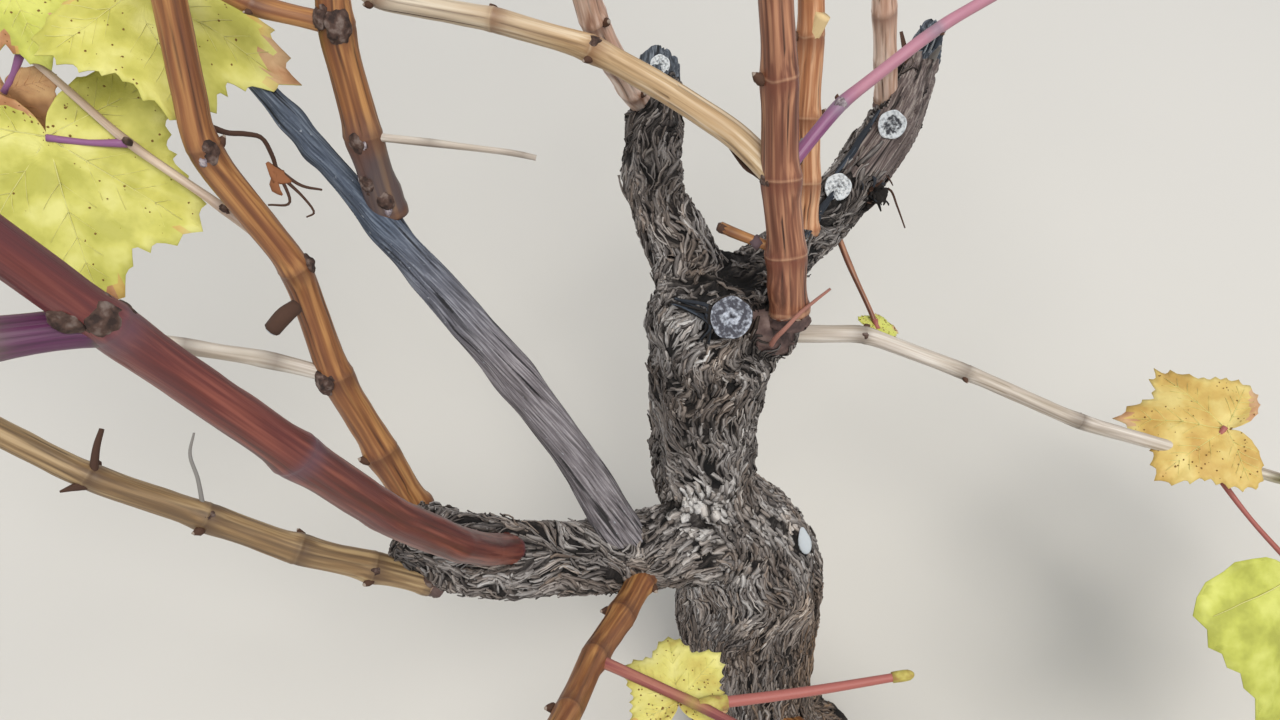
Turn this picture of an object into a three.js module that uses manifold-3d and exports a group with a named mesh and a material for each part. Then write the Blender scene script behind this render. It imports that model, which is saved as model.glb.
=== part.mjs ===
// Grapevine grown as a low bush: a short old trunk with three arms, one year's canes, the last leaves.
// Millimetres, +Z up. The origin is the middle of the flat cut under the trunk, at ground level.
import * as THREE from "three";
import { mergeVertices } from "three/addons/utils/BufferGeometryUtils.js";
import Module from "manifold-3d";

const wasm = await Module();
wasm.setup();

// Two pieces that touch on the plant are this far apart.
const seam = 0.3;

// Old wood. Each row is x, y, z and half width of a station, from the foot of the limb to its end.
const trunkRun = [
  [0, 0, 0, 42],
  [-5, 8, 18, 33],
  [-8, 22, 46, 29.5],
  [-11, 46, 80, 34],
  [-13, 67, 109, 37],
  [-35, 89, 143, 24],
  [-38, 106, 176, 24],
  [-37, 120, 208, 27],
  [-35, 130, 236, 32],
  [-35, 137, 256, 25],
];
const oldArms = {
  arm_back: [
    [-42, 138, 240, 17],
    [-53, 163, 250, 14],
    [-62, 195, 254, 12.5],
    [-61, 240, 256, 12],
    [-60, 273, 254, 10],
  ],
  arm_right: [
    [-24, 138, 236, 18],
    [2, 174, 229, 13],
    [27, 205, 226, 12.5],
    [54, 238, 245, 12.5],
    [70, 270, 257, 9],
    [78, 290, 264, 4],
  ],
  arm_left: [
    [-18, 74, 122, 25],
    [-62, 58, 146, 18],
    [-108, 44, 172, 15],
    [-142, 38, 194, 17],
    [-166, 42, 212, 13],
  ],
  spur_dead: [
    [-74, 54, 152, 11],
    [-98, 72, 222, 8.5],
    [-134, 95, 286, 7.2],
    [-174, 126, 328, 4.6],
    [-214, 157, 367, 2.9],
  ],
};
const trunkSides = 16;
const armSides = 10;
const barkRidge = 0.07;
// Steps along the trunk, and along an arm from one row to the next.
const trunkSteps = 21;
const armSteps = 3;
// The foot widens into its roots below this height, and its ridges deepen by this share.
const flareTop = 60;
const footRidge = 1.6;

// The head carries a cut stub on its face, and a knob on its right side where the thickest cane starts.
const headStub = { foot: [-36, 130, 251], heading: [-78, 38], long: 27, base: 19, tip: 17 };
const headKnob = { foot: [-34, 126, 234], heading: [-24, 34], long: 34, base: 38, tip: 22 };

// Canes of this year. A heading is the share of the length that it holds at, its azimuth from +X
// towards +Y and its rise above level, both in degrees. bare counts the internodes below the first
// leaf or side shoot: they are the limb, and the rest is its top.
const canes = {
  cane_head: {
    foot: [-8, 115, 262], headings: [[0, 109, 64], [0.2, 97, 62], [1, 104, 80]],
    long: 740, base: 14.5, tip: 5, bare: 7, seed: 11, internode: 68,
  },
  cane_crossing: {
    on: ["cane_head", 2],
    headings: [[0, 136, 12], [0.21, 181, 11], [0.28, 160, 40], [0.45, 146, 50], [1, 140, 62]],
    long: 620, base: 10.5, tip: 4, bare: 7, seed: 23,
  },
  cane_rear: {
    foot: [7, 178, 236], headings: [[0, 97, 60], [0.2, 94, 62], [1, 30, 56]],
    long: 660, base: 12.5, tip: 4.5, bare: 8, seed: 31,
  },
  cane_arm: {
    foot: [52, 250, 252], headings: [[0, 186, 77], [0.14, 186, 77], [0.5, 16, 64], [1, 0, 42]],
    long: 620, base: 11.5, tip: 4, bare: 7, seed: 47,
  },
  cane_back: {
    foot: [-66, 240, 256], headings: [[0, 237, 59], [0.2, 248, 78], [1, 112, 58]],
    long: 640, base: 12.5, tip: 4.5, bare: 8, seed: 53,
  },
  cane_spur: {
    foot: [-161, 119, 319], headings: [[0, 115, 72], [0.2, 72, 55], [1, 112, 62]],
    long: 560, base: 12, tip: 4.5, bare: 5, seed: 61, internode: 80,
  },
  cane_left: {
    foot: [-163, 51, 209],
    headings: [
      [0, 134, 60], [0.11, 110, 64], [0.16, 144, 66], [0.24, 90, 62], [0.4, 140, 62], [1, 150, 62],
    ],
    long: 740, base: 12.5, tip: 4.5, bare: 7, seed: 73, internode: 83,
  },
  cane_near: {
    foot: [-125, 39, 195], headings: [[0, 257, 67], [0.22, 178, 71], [1, 170, 50]],
    long: 760, base: 13.5, tip: 4.5, bare: 7, seed: 89, internode: 87,
  },
  cane_low: {
    foot: [-158, 26, 191], headings: [[0, 182, 39], [0.3, 159, 36], [1, 192, 58]],
    long: 620, base: 11.5, tip: 4, bare: 7, seed: 97, internode: 66,
  },
  cane_pale: {
    foot: [-11, 124, 233], headings: [[0, 0, 4], [0.1, -20, -14], [0.5, -4, -17], [1, -16, 24]],
    long: 430, base: 8, tip: 3, bare: 3, seed: 101, internode: 100,
    leaves: [[4, 60, 50, 16, 40, 165, 8]],
  },
  cane_front: {
    foot: [-60, 56, 142], headings: [[0, 246, 36], [0.3, 262, 54], [1, 262, 76]],
    long: 700, base: 12, tip: 4.5, bare: 8, seed: 113,
  },
  cane_side: {
    foot: [6, 2, 48], headings: [[0, -46, 40], [0.4, -40, 56], [1, -38, 76]],
    long: 740, base: 12, tip: 4.5, bare: 8, seed: 127,
  },
  shoot_purple: {
    on: ["cane_head", 2], headings: [[0, 48, 26], [0.12, 20, 30], [0.4, 10, 33], [1, -14, 46]],
    long: 330, base: 5.2, tip: 2.8, bare: 3, seed: 131, internode: 90,
  },
  shoot_side: {
    on: ["cane_spur", 2], headings: [[0, 176, 12], [0.12, 160, 26], [0.3, 190, 62], [1, 215, 64]],
    long: 260, base: 6.5, tip: 3, bare: 3, seed: 142,
  },
  shoot_near: {
    on: ["cane_near", 5], headings: [[0, 214, 26], [1, 205, 52]],
    long: 300, base: 8.5, tip: 3.5, bare: 3, seed: 139,
  },
};

// Side growth that stays whole, stem and leaves in one. A leaf is its node, the azimuth, rise and
// length of its stalk, its size from stalk to tip, and the azimuth and droop of its blade.
const sprays = {
  spray_left: {
    on: ["cane_left", 3], headings: [[0, 156, 38], [0.25, 152, 28], [1, 142, 44]],
    long: 160, base: 4.4, tip: 3, internode: 77,
    leaves: [
      [2, 186, 8, 25, 56, -76, 38], [3, 20, 14, 42, 50, -8, 24],
      [3, -140, -45, 18, 26, 255, 50], [3, 100, 40, 22, 30, -60, 20],
    ],
  },
  spray_front: {
    on: ["cane_front", 3], headings: [[0, -24, 12], [1, -50, 26]],
    long: 110, base: 4.6, tip: 3.2, internode: 118,
    leaves: [[1, 8, 0, 82, 0, 0, 0], [1, 150, -24, 10, 27, 96, 8], [2, -40, 30, 40, 46, -70, 30]],
  },
  twig_beige: {
    on: ["cane_left", 2], headings: [[0, 186, 34], [1, 190, 26]], long: 98, base: 6, tip: 4.4, leaves: [],
  },
  twig_short: {
    on: ["cane_head", 1], headings: [[0, 159, 4], [1, 140, 10]], long: 48, base: 4.2, tip: 3.4, leaves: [],
  },
  twig_grey: {
    on: ["cane_spur", 1], headings: [[0, -4, -2], [1, -6, -16]], long: 62, base: 3, tip: 2, leaves: [],
  },
  twig_thin: {
    foot: [24, 198, 224], headings: [[0, -68, -20], [1, -66, -28]], long: 56, base: 3.2, tip: 2.2,
    leaves: [[2, -60, -20, 5, 14, 20, 20]],
  },
};
const internode = 62;
// The first internode is this share of a full one, and each next one is longer by the second share.
const firstInternode = 0.4;
const internodeGain = 0.08;
const zigzag = 0.05;
const caneSides = 7;
const shootSides = 5;
const stemSides = 5;
const twigSides = 4;
const stalkSides = 3;
// How far along its internode each ring lies, and how much wider it is than the cane.
const nodeShape = [[0, 1.2], [0.14, 1], [0.86, 0.98]];
// A stem in a top keeps this many rings of each internode.
const stemRings = 2;

// Shares of the nodes in a top that carry a leaf or a side shoot: the rest are bare buds.
const leafShare = 0.4;
const shootShare = 0.3;
// Least and most of a dealt leaf: its size, and the droop of its blade in degrees.
const dealtSize = [46, 79];
const dealtDroop = [10, 60];
// A dealt leaf stands up to this far from its place round the stem, and its blade from its stalk's way.
const dealtSpin = 40;
const dealtTurn = 40;
// What grows at a node leans this much along its stem.
const dealtLean = 0.7;
// A leaf stalk: widths at its two ends, its length on a stem and on a side shoot as shares of the leaf.
const stalkBase = 3;
const stalkTip = 2.4;
const stalkOnStem = 0.8;
const stalkOnShoot = 0.5;
// A side shoot is one to two leaves long, and the leaf at its end is this share of a full one.
const shootBase = 4.2;
const shootTip = 2.8;
const shootLeaf = 0.7;
const twigSteps = 3;
// A stalk starts this deep in the end of its shoot, and ends this deep in its blade.
const footSink = 2;
const bladeSink = 3;
// Outline of a palmate leaf: angle from its middle lobe and reach, for one half.
const leafHalf = [[0, 1], [26, 0.72], [50, 0.92], [82, 0.64], [124, 0.76]];
const leafNotch = 0.12;
// A blade is this thick for its size, but at least this thick in millimetres.
const bladeThick = 0.014;
const bladeLeast = 0.9;
// How far the blade falls along its length and to its sides, as shares of its size.
const bladeFall = 0.16;
const bladeArch = 0.2;

const bark = { color: 0x5b5046, roughness: 0.95, metalness: 0 };
const deadWood = { color: 0x6d7178, roughness: 0.9, metalness: 0 };
const ripeCane = { color: 0xb36a32, roughness: 0.55, metalness: 0 };
const paleCane = { color: 0xcbbb9e, roughness: 0.7, metalness: 0 };
const darkCane = { color: 0x85402f, roughness: 0.5, metalness: 0 };
const autumnLeaf = { color: 0xcdc845, roughness: 0.6, metalness: 0 };

const up = new THREE.Vector3(0, 0, 1);

// The same seed always gives the same plant.
function makeRandom(seed) {
  let state = seed;
  return () => {
    state = (Math.imul(state, 1664525) + 1013904223) >>> 0;
    return state / 4294967296;
  };
}

function heading(azimuth, rise) {
  const turn = THREE.MathUtils.degToRad(azimuth);
  const lift = THREE.MathUtils.degToRad(rise);
  return new THREE.Vector3(
    Math.cos(lift) * Math.cos(turn),
    Math.cos(lift) * Math.sin(turn),
    Math.sin(lift),
  );
}

// A unit vector square to way, as near to wanted as it can be.
function squareTo(way, wanted) {
  return wanted.clone().addScaledVector(way, -wanted.dot(way)).normalize();
}

function levelSide(way) {
  return new THREE.Vector3(-way.y, way.x, 0.001).normalize();
}

// Rings of points round a row of stations, closed flat at both ends and grown outwards all over.
function skinStations(stations, sides, grow, ridge) {
  const points = [];
  const faces = [];
  const end = stations.length - 1;
  stations.forEach((station, ring) => {
    const across = squareTo(station.way, station.side);
    const over = station.way.clone().cross(across);
    const middle = station.at.clone().addScaledVector(station.way, ring === end ? grow : ring ? 0 : -grow);
    for (let i = 0; i < sides; i++) {
      const angle = (2 * Math.PI * i) / sides;
      const rough = ridge * (station.ridge || 1);
      const reach = station.radius * (1 + rough * Math.sin(3 * angle + 0.3 * ring)
        + 0.6 * rough * Math.sin(5 * angle - 0.5 * ring)) + grow;
      const point = middle.clone()
        .addScaledVector(across, reach * Math.cos(angle))
        .addScaledVector(over, reach * Math.sin(angle));
      points.push(point.x, point.y, station.level ? station.at.z : point.z);
    }
  });
  for (let ring = 0; ring < end; ring++) {
    for (let i = 0; i < sides; i++) {
      const a = ring * sides + i;
      const b = ring * sides + ((i + 1) % sides);
      faces.push(a, b, b + sides, a, b + sides, a + sides);
    }
  }
  const last = end * sides;
  for (let i = 1; i < sides - 1; i++) {
    faces.push(0, i + 1, i);
    faces.push(last, last + i, last + i + 1);
  }
  const geometry = new THREE.BufferGeometry();
  geometry.setAttribute("position", new THREE.Float32BufferAttribute(points, 3));
  geometry.setIndex(faces);
  return geometry;
}

function toSolid(geometry) {
  const bare = geometry.clone();
  bare.deleteAttribute("normal");
  bare.deleteAttribute("uv");
  const merged = mergeVertices(bare, 1e-3);
  return new wasm.Manifold(new wasm.Mesh({
    numProp: 3,
    vertProperties: merged.attributes.position.array,
    triVerts: new Uint32Array(merged.index.array),
  }));
}

function toMesh(name, solid, finish) {
  const body = solid.getMesh();
  const geometry = new THREE.BufferGeometry();
  geometry.setAttribute("position", new THREE.BufferAttribute(body.vertProperties, 3));
  geometry.setIndex(new THREE.BufferAttribute(body.triVerts, 1));
  geometry.computeVertexNormals();
  const mesh = new THREE.Mesh(geometry, new THREE.MeshStandardMaterial(finish));
  mesh.name = name;
  return mesh;
}

// Cutting can leave a crumb inside the carrier: the limb is the largest body.
function largestBody(solid) {
  return solid.decompose().sort((a, b) => b.volume() - a.volume())[0];
}

// Stations of a piece of old wood, by a smooth curve through its rows.
function woodStations(rows, steps) {
  const curve = new THREE.CatmullRomCurve3(
    rows.map(([x, y, z]) => new THREE.Vector3(x, y, z)), false, "catmullrom", 0.5,
  );
  const stations = [];
  const side = levelSide(curve.getTangent(0));
  for (let i = 0; i <= steps; i++) {
    const share = i / steps;
    const place = share * (rows.length - 1);
    const row = Math.min(Math.floor(place), rows.length - 2);
    const way = curve.getTangent(share);
    side.copy(squareTo(way, side));
    stations.push({
      at: curve.getPoint(share),
      way,
      side: side.clone(),
      radius: THREE.MathUtils.lerp(rows[row][3], rows[row + 1][3], place - row),
    });
  }
  return stations;
}

// The way of a cane at a share of its length, between its headings.
function wayAt(headings, share) {
  const next = Math.max(1, headings.findIndex((row) => row[0] >= share));
  const [low, ...from] = headings[next - 1];
  const [high, ...to] = headings[next];
  return heading(...from).lerp(heading(...to), (share - low) / (high - low)).normalize();
}

// Stations of a cane: it bends from heading to heading and kinks a little at each node.
function growCane(cane) {
  const side = levelSide(wayAt(cane.headings, 0));
  const at = cane.on ? nodePlaces.get(cane.on[0])[cane.on[1]].clone() : new THREE.Vector3(...cane.foot);
  const stations = [];
  let grown = 0;
  for (let node = 0; grown < cane.long; node++) {
    const length = (cane.internode || internode) * Math.min(1, firstInternode + internodeGain * node);
    const way = wayAt(cane.headings, grown / cane.long);
    side.copy(squareTo(way, side));
    way.addScaledVector(side, node % 2 ? zigzag : -zigzag).normalize();
    for (const [part, swell] of nodeShape) {
      const share = Math.min(1, (grown + part * length) / cane.long);
      stations.push({
        at: at.clone().addScaledVector(way, part * length),
        way: way.clone(),
        side: side.clone(),
        radius: 0.5 * THREE.MathUtils.lerp(cane.base, cane.tip, share) * swell,
        node,
      });
    }
    at.addScaledVector(way, length);
    grown += length;
  }
  return stations;
}

// A blade of the given size, thin and arched, with its notch at the origin and its tip along +X.
function leafGeometry(size) {
  const outline = [];
  for (const [angle, reach] of leafHalf) {
    outline.push([angle, reach]);
  }
  outline.push([180, leafNotch]);
  for (const [angle, reach] of leafHalf.slice(1).reverse()) {
    outline.push([-angle, reach]);
  }
  const shape = new THREE.Shape(outline.map(([angle, reach]) => {
    const turn = THREE.MathUtils.degToRad(angle);
    return new THREE.Vector2(size * reach * Math.cos(turn), size * reach * Math.sin(turn));
  }));
  const thick = Math.max(bladeLeast, bladeThick * size);
  const geometry = new THREE.ExtrudeGeometry(shape, { depth: thick, bevelEnabled: false, steps: 1 });
  const place = geometry.attributes.position;
  for (let i = 0; i < place.count; i++) {
    const x = place.getX(i) / size;
    const y = place.getY(i) / size;
    place.setZ(i, place.getZ(i) - thick / 2 - size * (bladeFall * x * x + bladeArch * y * y));
  }
  return geometry;
}

// A thin stalk or twig from at along way, bending towards towards, with a straight taper.
function twigStations(at, way, towards, long, base, tip, steps) {
  const stations = [];
  const place = at.clone();
  const side = levelSide(way);
  for (let i = 0; i <= steps; i++) {
    const share = i / steps;
    const now = way.clone().lerp(towards, share).normalize();
    side.copy(squareTo(now, side));
    stations.push({
      at: place.clone(), way: now, side: side.clone(), radius: 0.5 * THREE.MathUtils.lerp(base, tip, share),
    });
    place.addScaledVector(now, long / steps);
  }
  return stations;
}

// A leaf on its stalk. The blade's upper face is to the sky and its notch takes the stalk's end.
function leafParts(at, stalkWay, stalk, size, bladeAzimuth, droop) {
  const out = stalkWay.clone().lerp(new THREE.Vector3(stalkWay.x, stalkWay.y, 0.2), 0.5).normalize();
  const stations = twigStations(at, stalkWay, out, stalk, stalkBase, stalkTip, 1);
  const parts = [toSolid(skinStations(stations, stalkSides, 0, 0))];
  if (size > 0) {
    const axis = heading(bladeAzimuth, -droop);
    const across = up.clone().cross(axis).normalize();
    const turn = new THREE.Matrix4().makeBasis(axis, across, axis.clone().cross(across));
    const end = stations[stations.length - 1].at;
    turn.setPosition(end.clone().addScaledVector(axis, leafNotch * size - bladeSink));
    parts.push(toSolid(leafGeometry(size).applyMatrix4(turn)));
  }
  return parts;
}

function thinOut(stations) {
  return stations.filter((station, i) => i % nodeShape.length < stemRings);
}

// A row of stations cut short at the node where the top starts, and the stem that grows on from there.
function splitCane(stations, bare) {
  const first = stations.findIndex((station) => station.node === bare);
  const limb = stations.slice(0, first + 1);
  const stem = thinOut(stations.slice(first));
  stem[0] = { ...stem[0], at: stem[0].at.clone().addScaledVector(stem[0].way, seam) };
  return { limb, stem };
}

const solids = new Map();
const swollen = new Map();
const nodePlaces = new Map();

// A new limb is cut clear of everything that it grows from.
function addLimb(name, stations, sides, ridge, carriers) {
  let solid = toSolid(skinStations(stations, sides, 0, ridge));
  for (const carrier of carriers) {
    solid = solid.subtract(swollen.get(carrier));
  }
  solids.set(name, largestBody(solid));
  swollen.set(name, toSolid(skinStations(stations, sides, seam, ridge)));
}

function isClear(candidate, ownName) {
  for (const [name, solid] of solids) {
    if (name !== ownName && candidate.intersect(solid).volume() > 0) {
      return false;
    }
  }
  return true;
}

// Stems, leaves and side shoots of one node, fused: what would touch another piece is skipped.
function addTop(name, stem, spec, sides, carriers) {
  let solid = toSolid(skinStations(stem, sides, 0, 0));
  for (const carrier of carriers) {
    solid = solid.subtract(swollen.get(carrier));
  }
  const join = (pieces) => {
    if (pieces.every((piece) => isClear(piece, name))) {
      for (const piece of pieces) {
        solid = solid.add(piece);
      }
    }
  };
  for (const [node, azimuth, rise, stalk, size, bladeAzimuth, droop] of spec.leaves || []) {
    const place = stem.find((station) => station.node === node).at;
    join(leafParts(place, heading(azimuth, rise), stalk, size, bladeAzimuth, droop));
  }
  if (spec.seed) {
    dealShoots(stem, makeRandom(spec.seed), join);
  }
  solids.set(name, largestBody(solid));
}

function between([least, most], share) {
  return least + (most - least) * share;
}

// Leaves, side shoots and bare buds, dealt out by the seed at the nodes of a stem.
function dealShoots(stem, random, join) {
  const nodes = stem.filter((station, i) => i > 1 && station.node !== stem[i - 1].node);
  nodes.forEach((station, i) => {
    const kind = random();
    const spin = between([-dealtSpin, dealtSpin], random());
    const size = between(dealtSize, random());
    const droop = between(dealtDroop, random());
    const turn = between([-dealtTurn, dealtTurn], random());
    const across = squareTo(station.way, station.side).multiplyScalar(i % 2 ? 1 : -1);
    across.applyAxisAngle(station.way, THREE.MathUtils.degToRad(spin));
    const way = station.way.clone().multiplyScalar(dealtLean).add(across).normalize();
    const azimuth = THREE.MathUtils.radToDeg(Math.atan2(way.y, way.x)) + turn;
    if (kind < leafShare) {
      join(leafParts(station.at, way, stalkOnStem * size, size, azimuth, droop));
    } else if (kind < leafShare + shootShare) {
      const rising = way.clone().lerp(up, 0.5).normalize();
      const long = size * (1 + random());
      const shoot = twigStations(station.at, way, rising, long, shootBase, shootTip, twigSteps);
      const end = shoot[shoot.length - 1];
      const small = shootLeaf * size;
      const foot = end.at.clone().addScaledVector(end.way, -footSink);
      const leaf = leafParts(foot, end.way, stalkOnShoot * small, small, azimuth, droop);
      join([toSolid(skinStations(shoot, twigSides, 0, 0)), ...leaf]);
    }
  });
}

const trunkStations = woodStations(trunkRun, trunkSteps);
for (const station of trunkStations) {
  const footShare = Math.max(0, 1 - station.at.z / flareTop);
  station.way.lerp(up, footShare).normalize();
  station.side = squareTo(station.way, station.side);
  station.ridge = 1 + footRidge * footShare;
}
trunkStations[0].level = true;
const headPieces = [headStub, headKnob].map(({ foot, heading: [azimuth, rise], long, base, tip }) => {
  const way = heading(azimuth, rise);
  return twigStations(new THREE.Vector3(...foot), way, way, long, base, tip, twigSteps);
});
for (const [store, grow] of [[solids, 0], [swollen, seam]]) {
  let solid = toSolid(skinStations(trunkStations, trunkSides, grow, barkRidge));
  for (const piece of headPieces) {
    solid = solid.add(toSolid(skinStations(piece, armSides, grow, barkRidge)));
  }
  store.set("trunk", solid);
}
for (const [name, rows] of Object.entries(oldArms)) {
  addLimb(name, woodStations(rows, armSteps * (rows.length - 1)), armSides, barkRidge, [...swollen.keys()]);
}
const oldWood = [...swollen.keys()];
const tops = [];
for (const [name, cane] of Object.entries(canes)) {
  const stations = growCane(cane);
  nodePlaces.set(name, stations.filter((station, i) => i % nodeShape.length === 0).map(({ at }) => at));
  const { limb, stem } = splitCane(stations, cane.bare);
  const carriers = cane.on ? [...oldWood, cane.on[0]] : oldWood;
  addLimb(name, limb, name.startsWith("cane") ? caneSides : shootSides, 0, carriers);
  tops.push([name + "_top", stem, cane]);
}
for (const [name, spray] of Object.entries(sprays)) {
  const carriers = spray.on ? [...oldWood, spray.on[0]] : oldWood;
  addTop(name, thinOut(growCane(spray)), spray, twigSides, carriers);
}
for (const [name, stem, cane] of tops) {
  addTop(name, stem, cane, stemSides, []);
}

const finishes = {
  trunk: bark, arm_back: bark, arm_right: bark, arm_left: bark, spur_dead: deadWood,
  cane_pale: paleCane, cane_near: darkCane, twig_beige: paleCane, twig_grey: deadWood,
};
const vine = new THREE.Group();
for (const [name, solid] of solids) {
  const leafy = name.endsWith("_top") || name.startsWith("spray");
  vine.add(toMesh(name, solid, finishes[name] || (leafy ? autumnLeaf : ripeCane)));
}

export default vine;
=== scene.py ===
import math
import bpy
import numpy as np
from mathutils import Matrix, Vector
from mathutils.bvhtree import BVHTree


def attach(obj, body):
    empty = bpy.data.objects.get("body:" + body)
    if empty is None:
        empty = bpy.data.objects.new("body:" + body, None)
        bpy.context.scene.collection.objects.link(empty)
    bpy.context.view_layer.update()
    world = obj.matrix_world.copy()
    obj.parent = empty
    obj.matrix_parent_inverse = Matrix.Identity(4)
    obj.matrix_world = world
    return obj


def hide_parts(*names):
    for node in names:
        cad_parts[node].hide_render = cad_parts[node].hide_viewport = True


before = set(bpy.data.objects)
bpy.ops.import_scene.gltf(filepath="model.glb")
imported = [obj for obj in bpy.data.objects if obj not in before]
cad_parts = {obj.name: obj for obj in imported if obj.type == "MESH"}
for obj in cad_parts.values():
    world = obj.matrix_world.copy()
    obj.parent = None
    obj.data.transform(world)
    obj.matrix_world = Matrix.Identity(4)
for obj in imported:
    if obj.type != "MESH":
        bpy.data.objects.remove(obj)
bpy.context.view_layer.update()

# An old bush vine in late autumn. Lengths here are millimetres, and become metres when a piece is made.
mm = 0.001
up = Vector((0, 0, 1))


# Colours and materials

def linear(hexColour, alpha=1.0):
    parts = [int(hexColour[i:i + 2], 16) / 255 for i in (1, 3, 5)]
    return [p / 12.92 if p < 0.04045 else ((p + 0.055) / 1.055) ** 2.4 for p in parts] + [alpha]


def addNode(tree, kind, links=None, **settings):
    node = tree.nodes.new(kind)
    for name, value in settings.items():
        if hasattr(node, name):
            setattr(node, name, value)
        else:
            node.inputs[name.replace("_", " ")].default_value = value
    for socket, source in (links or {}).items():
        tree.links.new(source, node.inputs[socket])
    return node


# A socket takes another node's output, a hex colour or a number.
def feed(tree, socket, value):
    if hasattr(value, "is_linked"):
        tree.links.new(value, socket)
    else:
        socket.default_value = linear(value) if isinstance(value, str) else value


def newMaterial(name, roughness, ior=1.5):
    material = bpy.data.materials.new(name)
    material.use_nodes = True
    shader = material.node_tree.nodes["Principled BSDF"]
    shader.inputs["Roughness"].default_value = roughness
    shader.inputs["IOR"].default_value = ior
    return material, material.node_tree


# What every material ends with: its colour and a fine relief.
def finishMaterial(material, colour, height, strength, distance):
    tree = material.node_tree
    shader = tree.nodes["Principled BSDF"]
    feed(tree, shader.inputs["Base Color"], colour)
    bump = addNode(tree, "ShaderNodeBump", {"Height": height}, Strength=strength, Distance=distance)
    tree.links.new(bump.outputs[0], shader.inputs["Normal"])
    return material


def attribute(tree, name, output="Fac"):
    return addNode(tree, "ShaderNodeAttribute", attribute_name=name).outputs[output]


def noise(tree, places, scale, detail):
    return addNode(tree, "ShaderNodeTexNoise", {"Vector": places}, Scale=scale, Detail=detail).outputs[0]


# Wood seen along its grain: streaks stretched along the limb, in the limb's own attribute.
def grainNoise(tree, across, along, detail=3.0, seed=0.0):
    stretched = addNode(tree, "ShaderNodeMapping", {"Vector": attribute(tree, "grain", "Vector")},
                        Location=(seed, seed, seed), Scale=(1 / across, 1 / across, 1 / along))
    return noise(tree, stretched.outputs[0], 1.0, detail)


def ramp(tree, source, *stops):
    node = addNode(tree, "ShaderNodeValToRGB", {0: source})
    elements = node.color_ramp.elements
    while len(elements) < len(stops):
        elements.new(0.5)
    for element, (place, colour) in zip(elements, stops):
        element.position = place
        element.color = linear(colour)
    return node.outputs[0]


def maths(tree, operation, *values, clamp=False):
    node = addNode(tree, "ShaderNodeMath", operation=operation, use_clamp=clamp)
    for socket, value in zip(node.inputs, values):
        feed(tree, socket, value)
    return node.outputs[0]


def shareBetween(tree, value, first, last):
    return addNode(tree, "ShaderNodeMapRange", {"Value": value}, From_Min=first, From_Max=last).outputs[0]


def shareAlong(tree, first, last):
    along = addNode(tree, "ShaderNodeSeparateXYZ", {0: attribute(tree, "grain", "Vector")})
    return shareBetween(tree, along.outputs["Z"], first, last)


def mixColour(tree, factor, first, second, kind="MIX"):
    mix = addNode(tree, "ShaderNodeMix", data_type="RGBA", blend_type=kind)
    for socket, value in ((0, factor), (6, first), (7, second)):
        feed(tree, mix.inputs[socket], value)
    return mix.outputs[2]


# Shaggy vine bark: dry dead fibre, matt, near black in its cracks, where its dark inner bark shows and shade
# is painted, and ash grey on the torn edges. How light and how brown it is comes from the mesh.
def makeBark(name, stops, depth):
    material, tree = newMaterial(name, 0.93, 1.45)
    fine = grainNoise(tree, 0.55, 6, 4.0)
    shade = maths(tree, "SUBTRACT", maths(tree, "MULTIPLY_ADD", fine, 0.6, attribute(tree, "relief")), 0.3)
    tone = ramp(tree, shade, *stops)
    brown = mixColour(tree, 1.0, tone, "#E2B98C", "MULTIPLY")
    return finishMaterial(material, mixColour(tree, attribute(tree, "warm"), tone, brown), fine, 0.9, depth)


# Dead wood with the bark gone: grey going slate blue towards its tip, dry, with dark checks along the grain.
def makeDeadWood(name, tones, farTones=None, farFrom=(0, 1), checkWidth=1.2):
    material, tree = newMaterial(name, 0.86, 1.45)
    fine = grainNoise(tree, 0.7, 16, 4.0)
    colour = ramp(tree, fine, *zip((0.3, 0.5, 0.68), tones))
    if farTones:
        far = ramp(tree, fine, *zip((0.3, 0.5, 0.7), farTones))
        colour = mixColour(tree, shareAlong(tree, *farFrom), colour, far)
        white = ramp(tree, grainNoise(tree, 1.3, 2.6, 1.0, 9.0), (0.72, "#000000"), (0.78, "#B0B0B0"))
        colour = mixColour(tree, white, colour, "#B9C0C8")
    check = ramp(tree, grainNoise(tree, checkWidth * 1.6, 60, 2.0, 3.0), (0.34, "#1B1B1F"), (0.42, "#FFFFFF"))
    return finishMaterial(material, mixColour(tree, 0.85, colour, check, "MULTIPLY"), fine, 0.7, 0.0008)


# A ripened cane: thin smooth rind over ribs, satin, with dark lines in the grooves between the ribs. far
# gives the colour that it turns to along its length, and where that starts and ends.
def makeCane(name, tones, lines, roughness, far=()):
    low, middle, high, cloud, node, groove, thread = tones.split()
    material, tree = newMaterial(name, roughness)
    streak = grainNoise(tree, 2.0, 60, 3.0)
    hair = grainNoise(tree, 0.35, 18, 2.0, 5.0)
    clouds = grainNoise(tree, 8, 40, 2.0, 11.0)
    colour = ramp(tree, streak, (0.34, low), (0.48, middle), (0.63, high))
    if far:
        turned = maths(tree, "MULTIPLY", clouds, shareAlong(tree, *far[1:]))
        colour = mixColour(tree, maths(tree, "MULTIPLY", turned, 1.9, clamp=True), colour, far[0])
    line = maths(tree, "MULTIPLY", attribute(tree, "groove"), hair)
    broken = maths(tree, "MULTIPLY", attribute(tree, "relief"), streak)
    for mask, tone in ((ramp(tree, clouds, (0.42, "#000000"), (0.66, "#B0B0B0")), cloud),
                       (maths(tree, "MULTIPLY", attribute(tree, "nearNode"), 0.8), node),
                       (maths(tree, "MULTIPLY", line, lines, clamp=True), groove),
                       (maths(tree, "MULTIPLY", broken, 1.5, clamp=True), thread)):
        colour = mixColour(tree, mask, colour, tone)
    return finishMaterial(material, colour, hair, 0.35, 0.0003)


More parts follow.
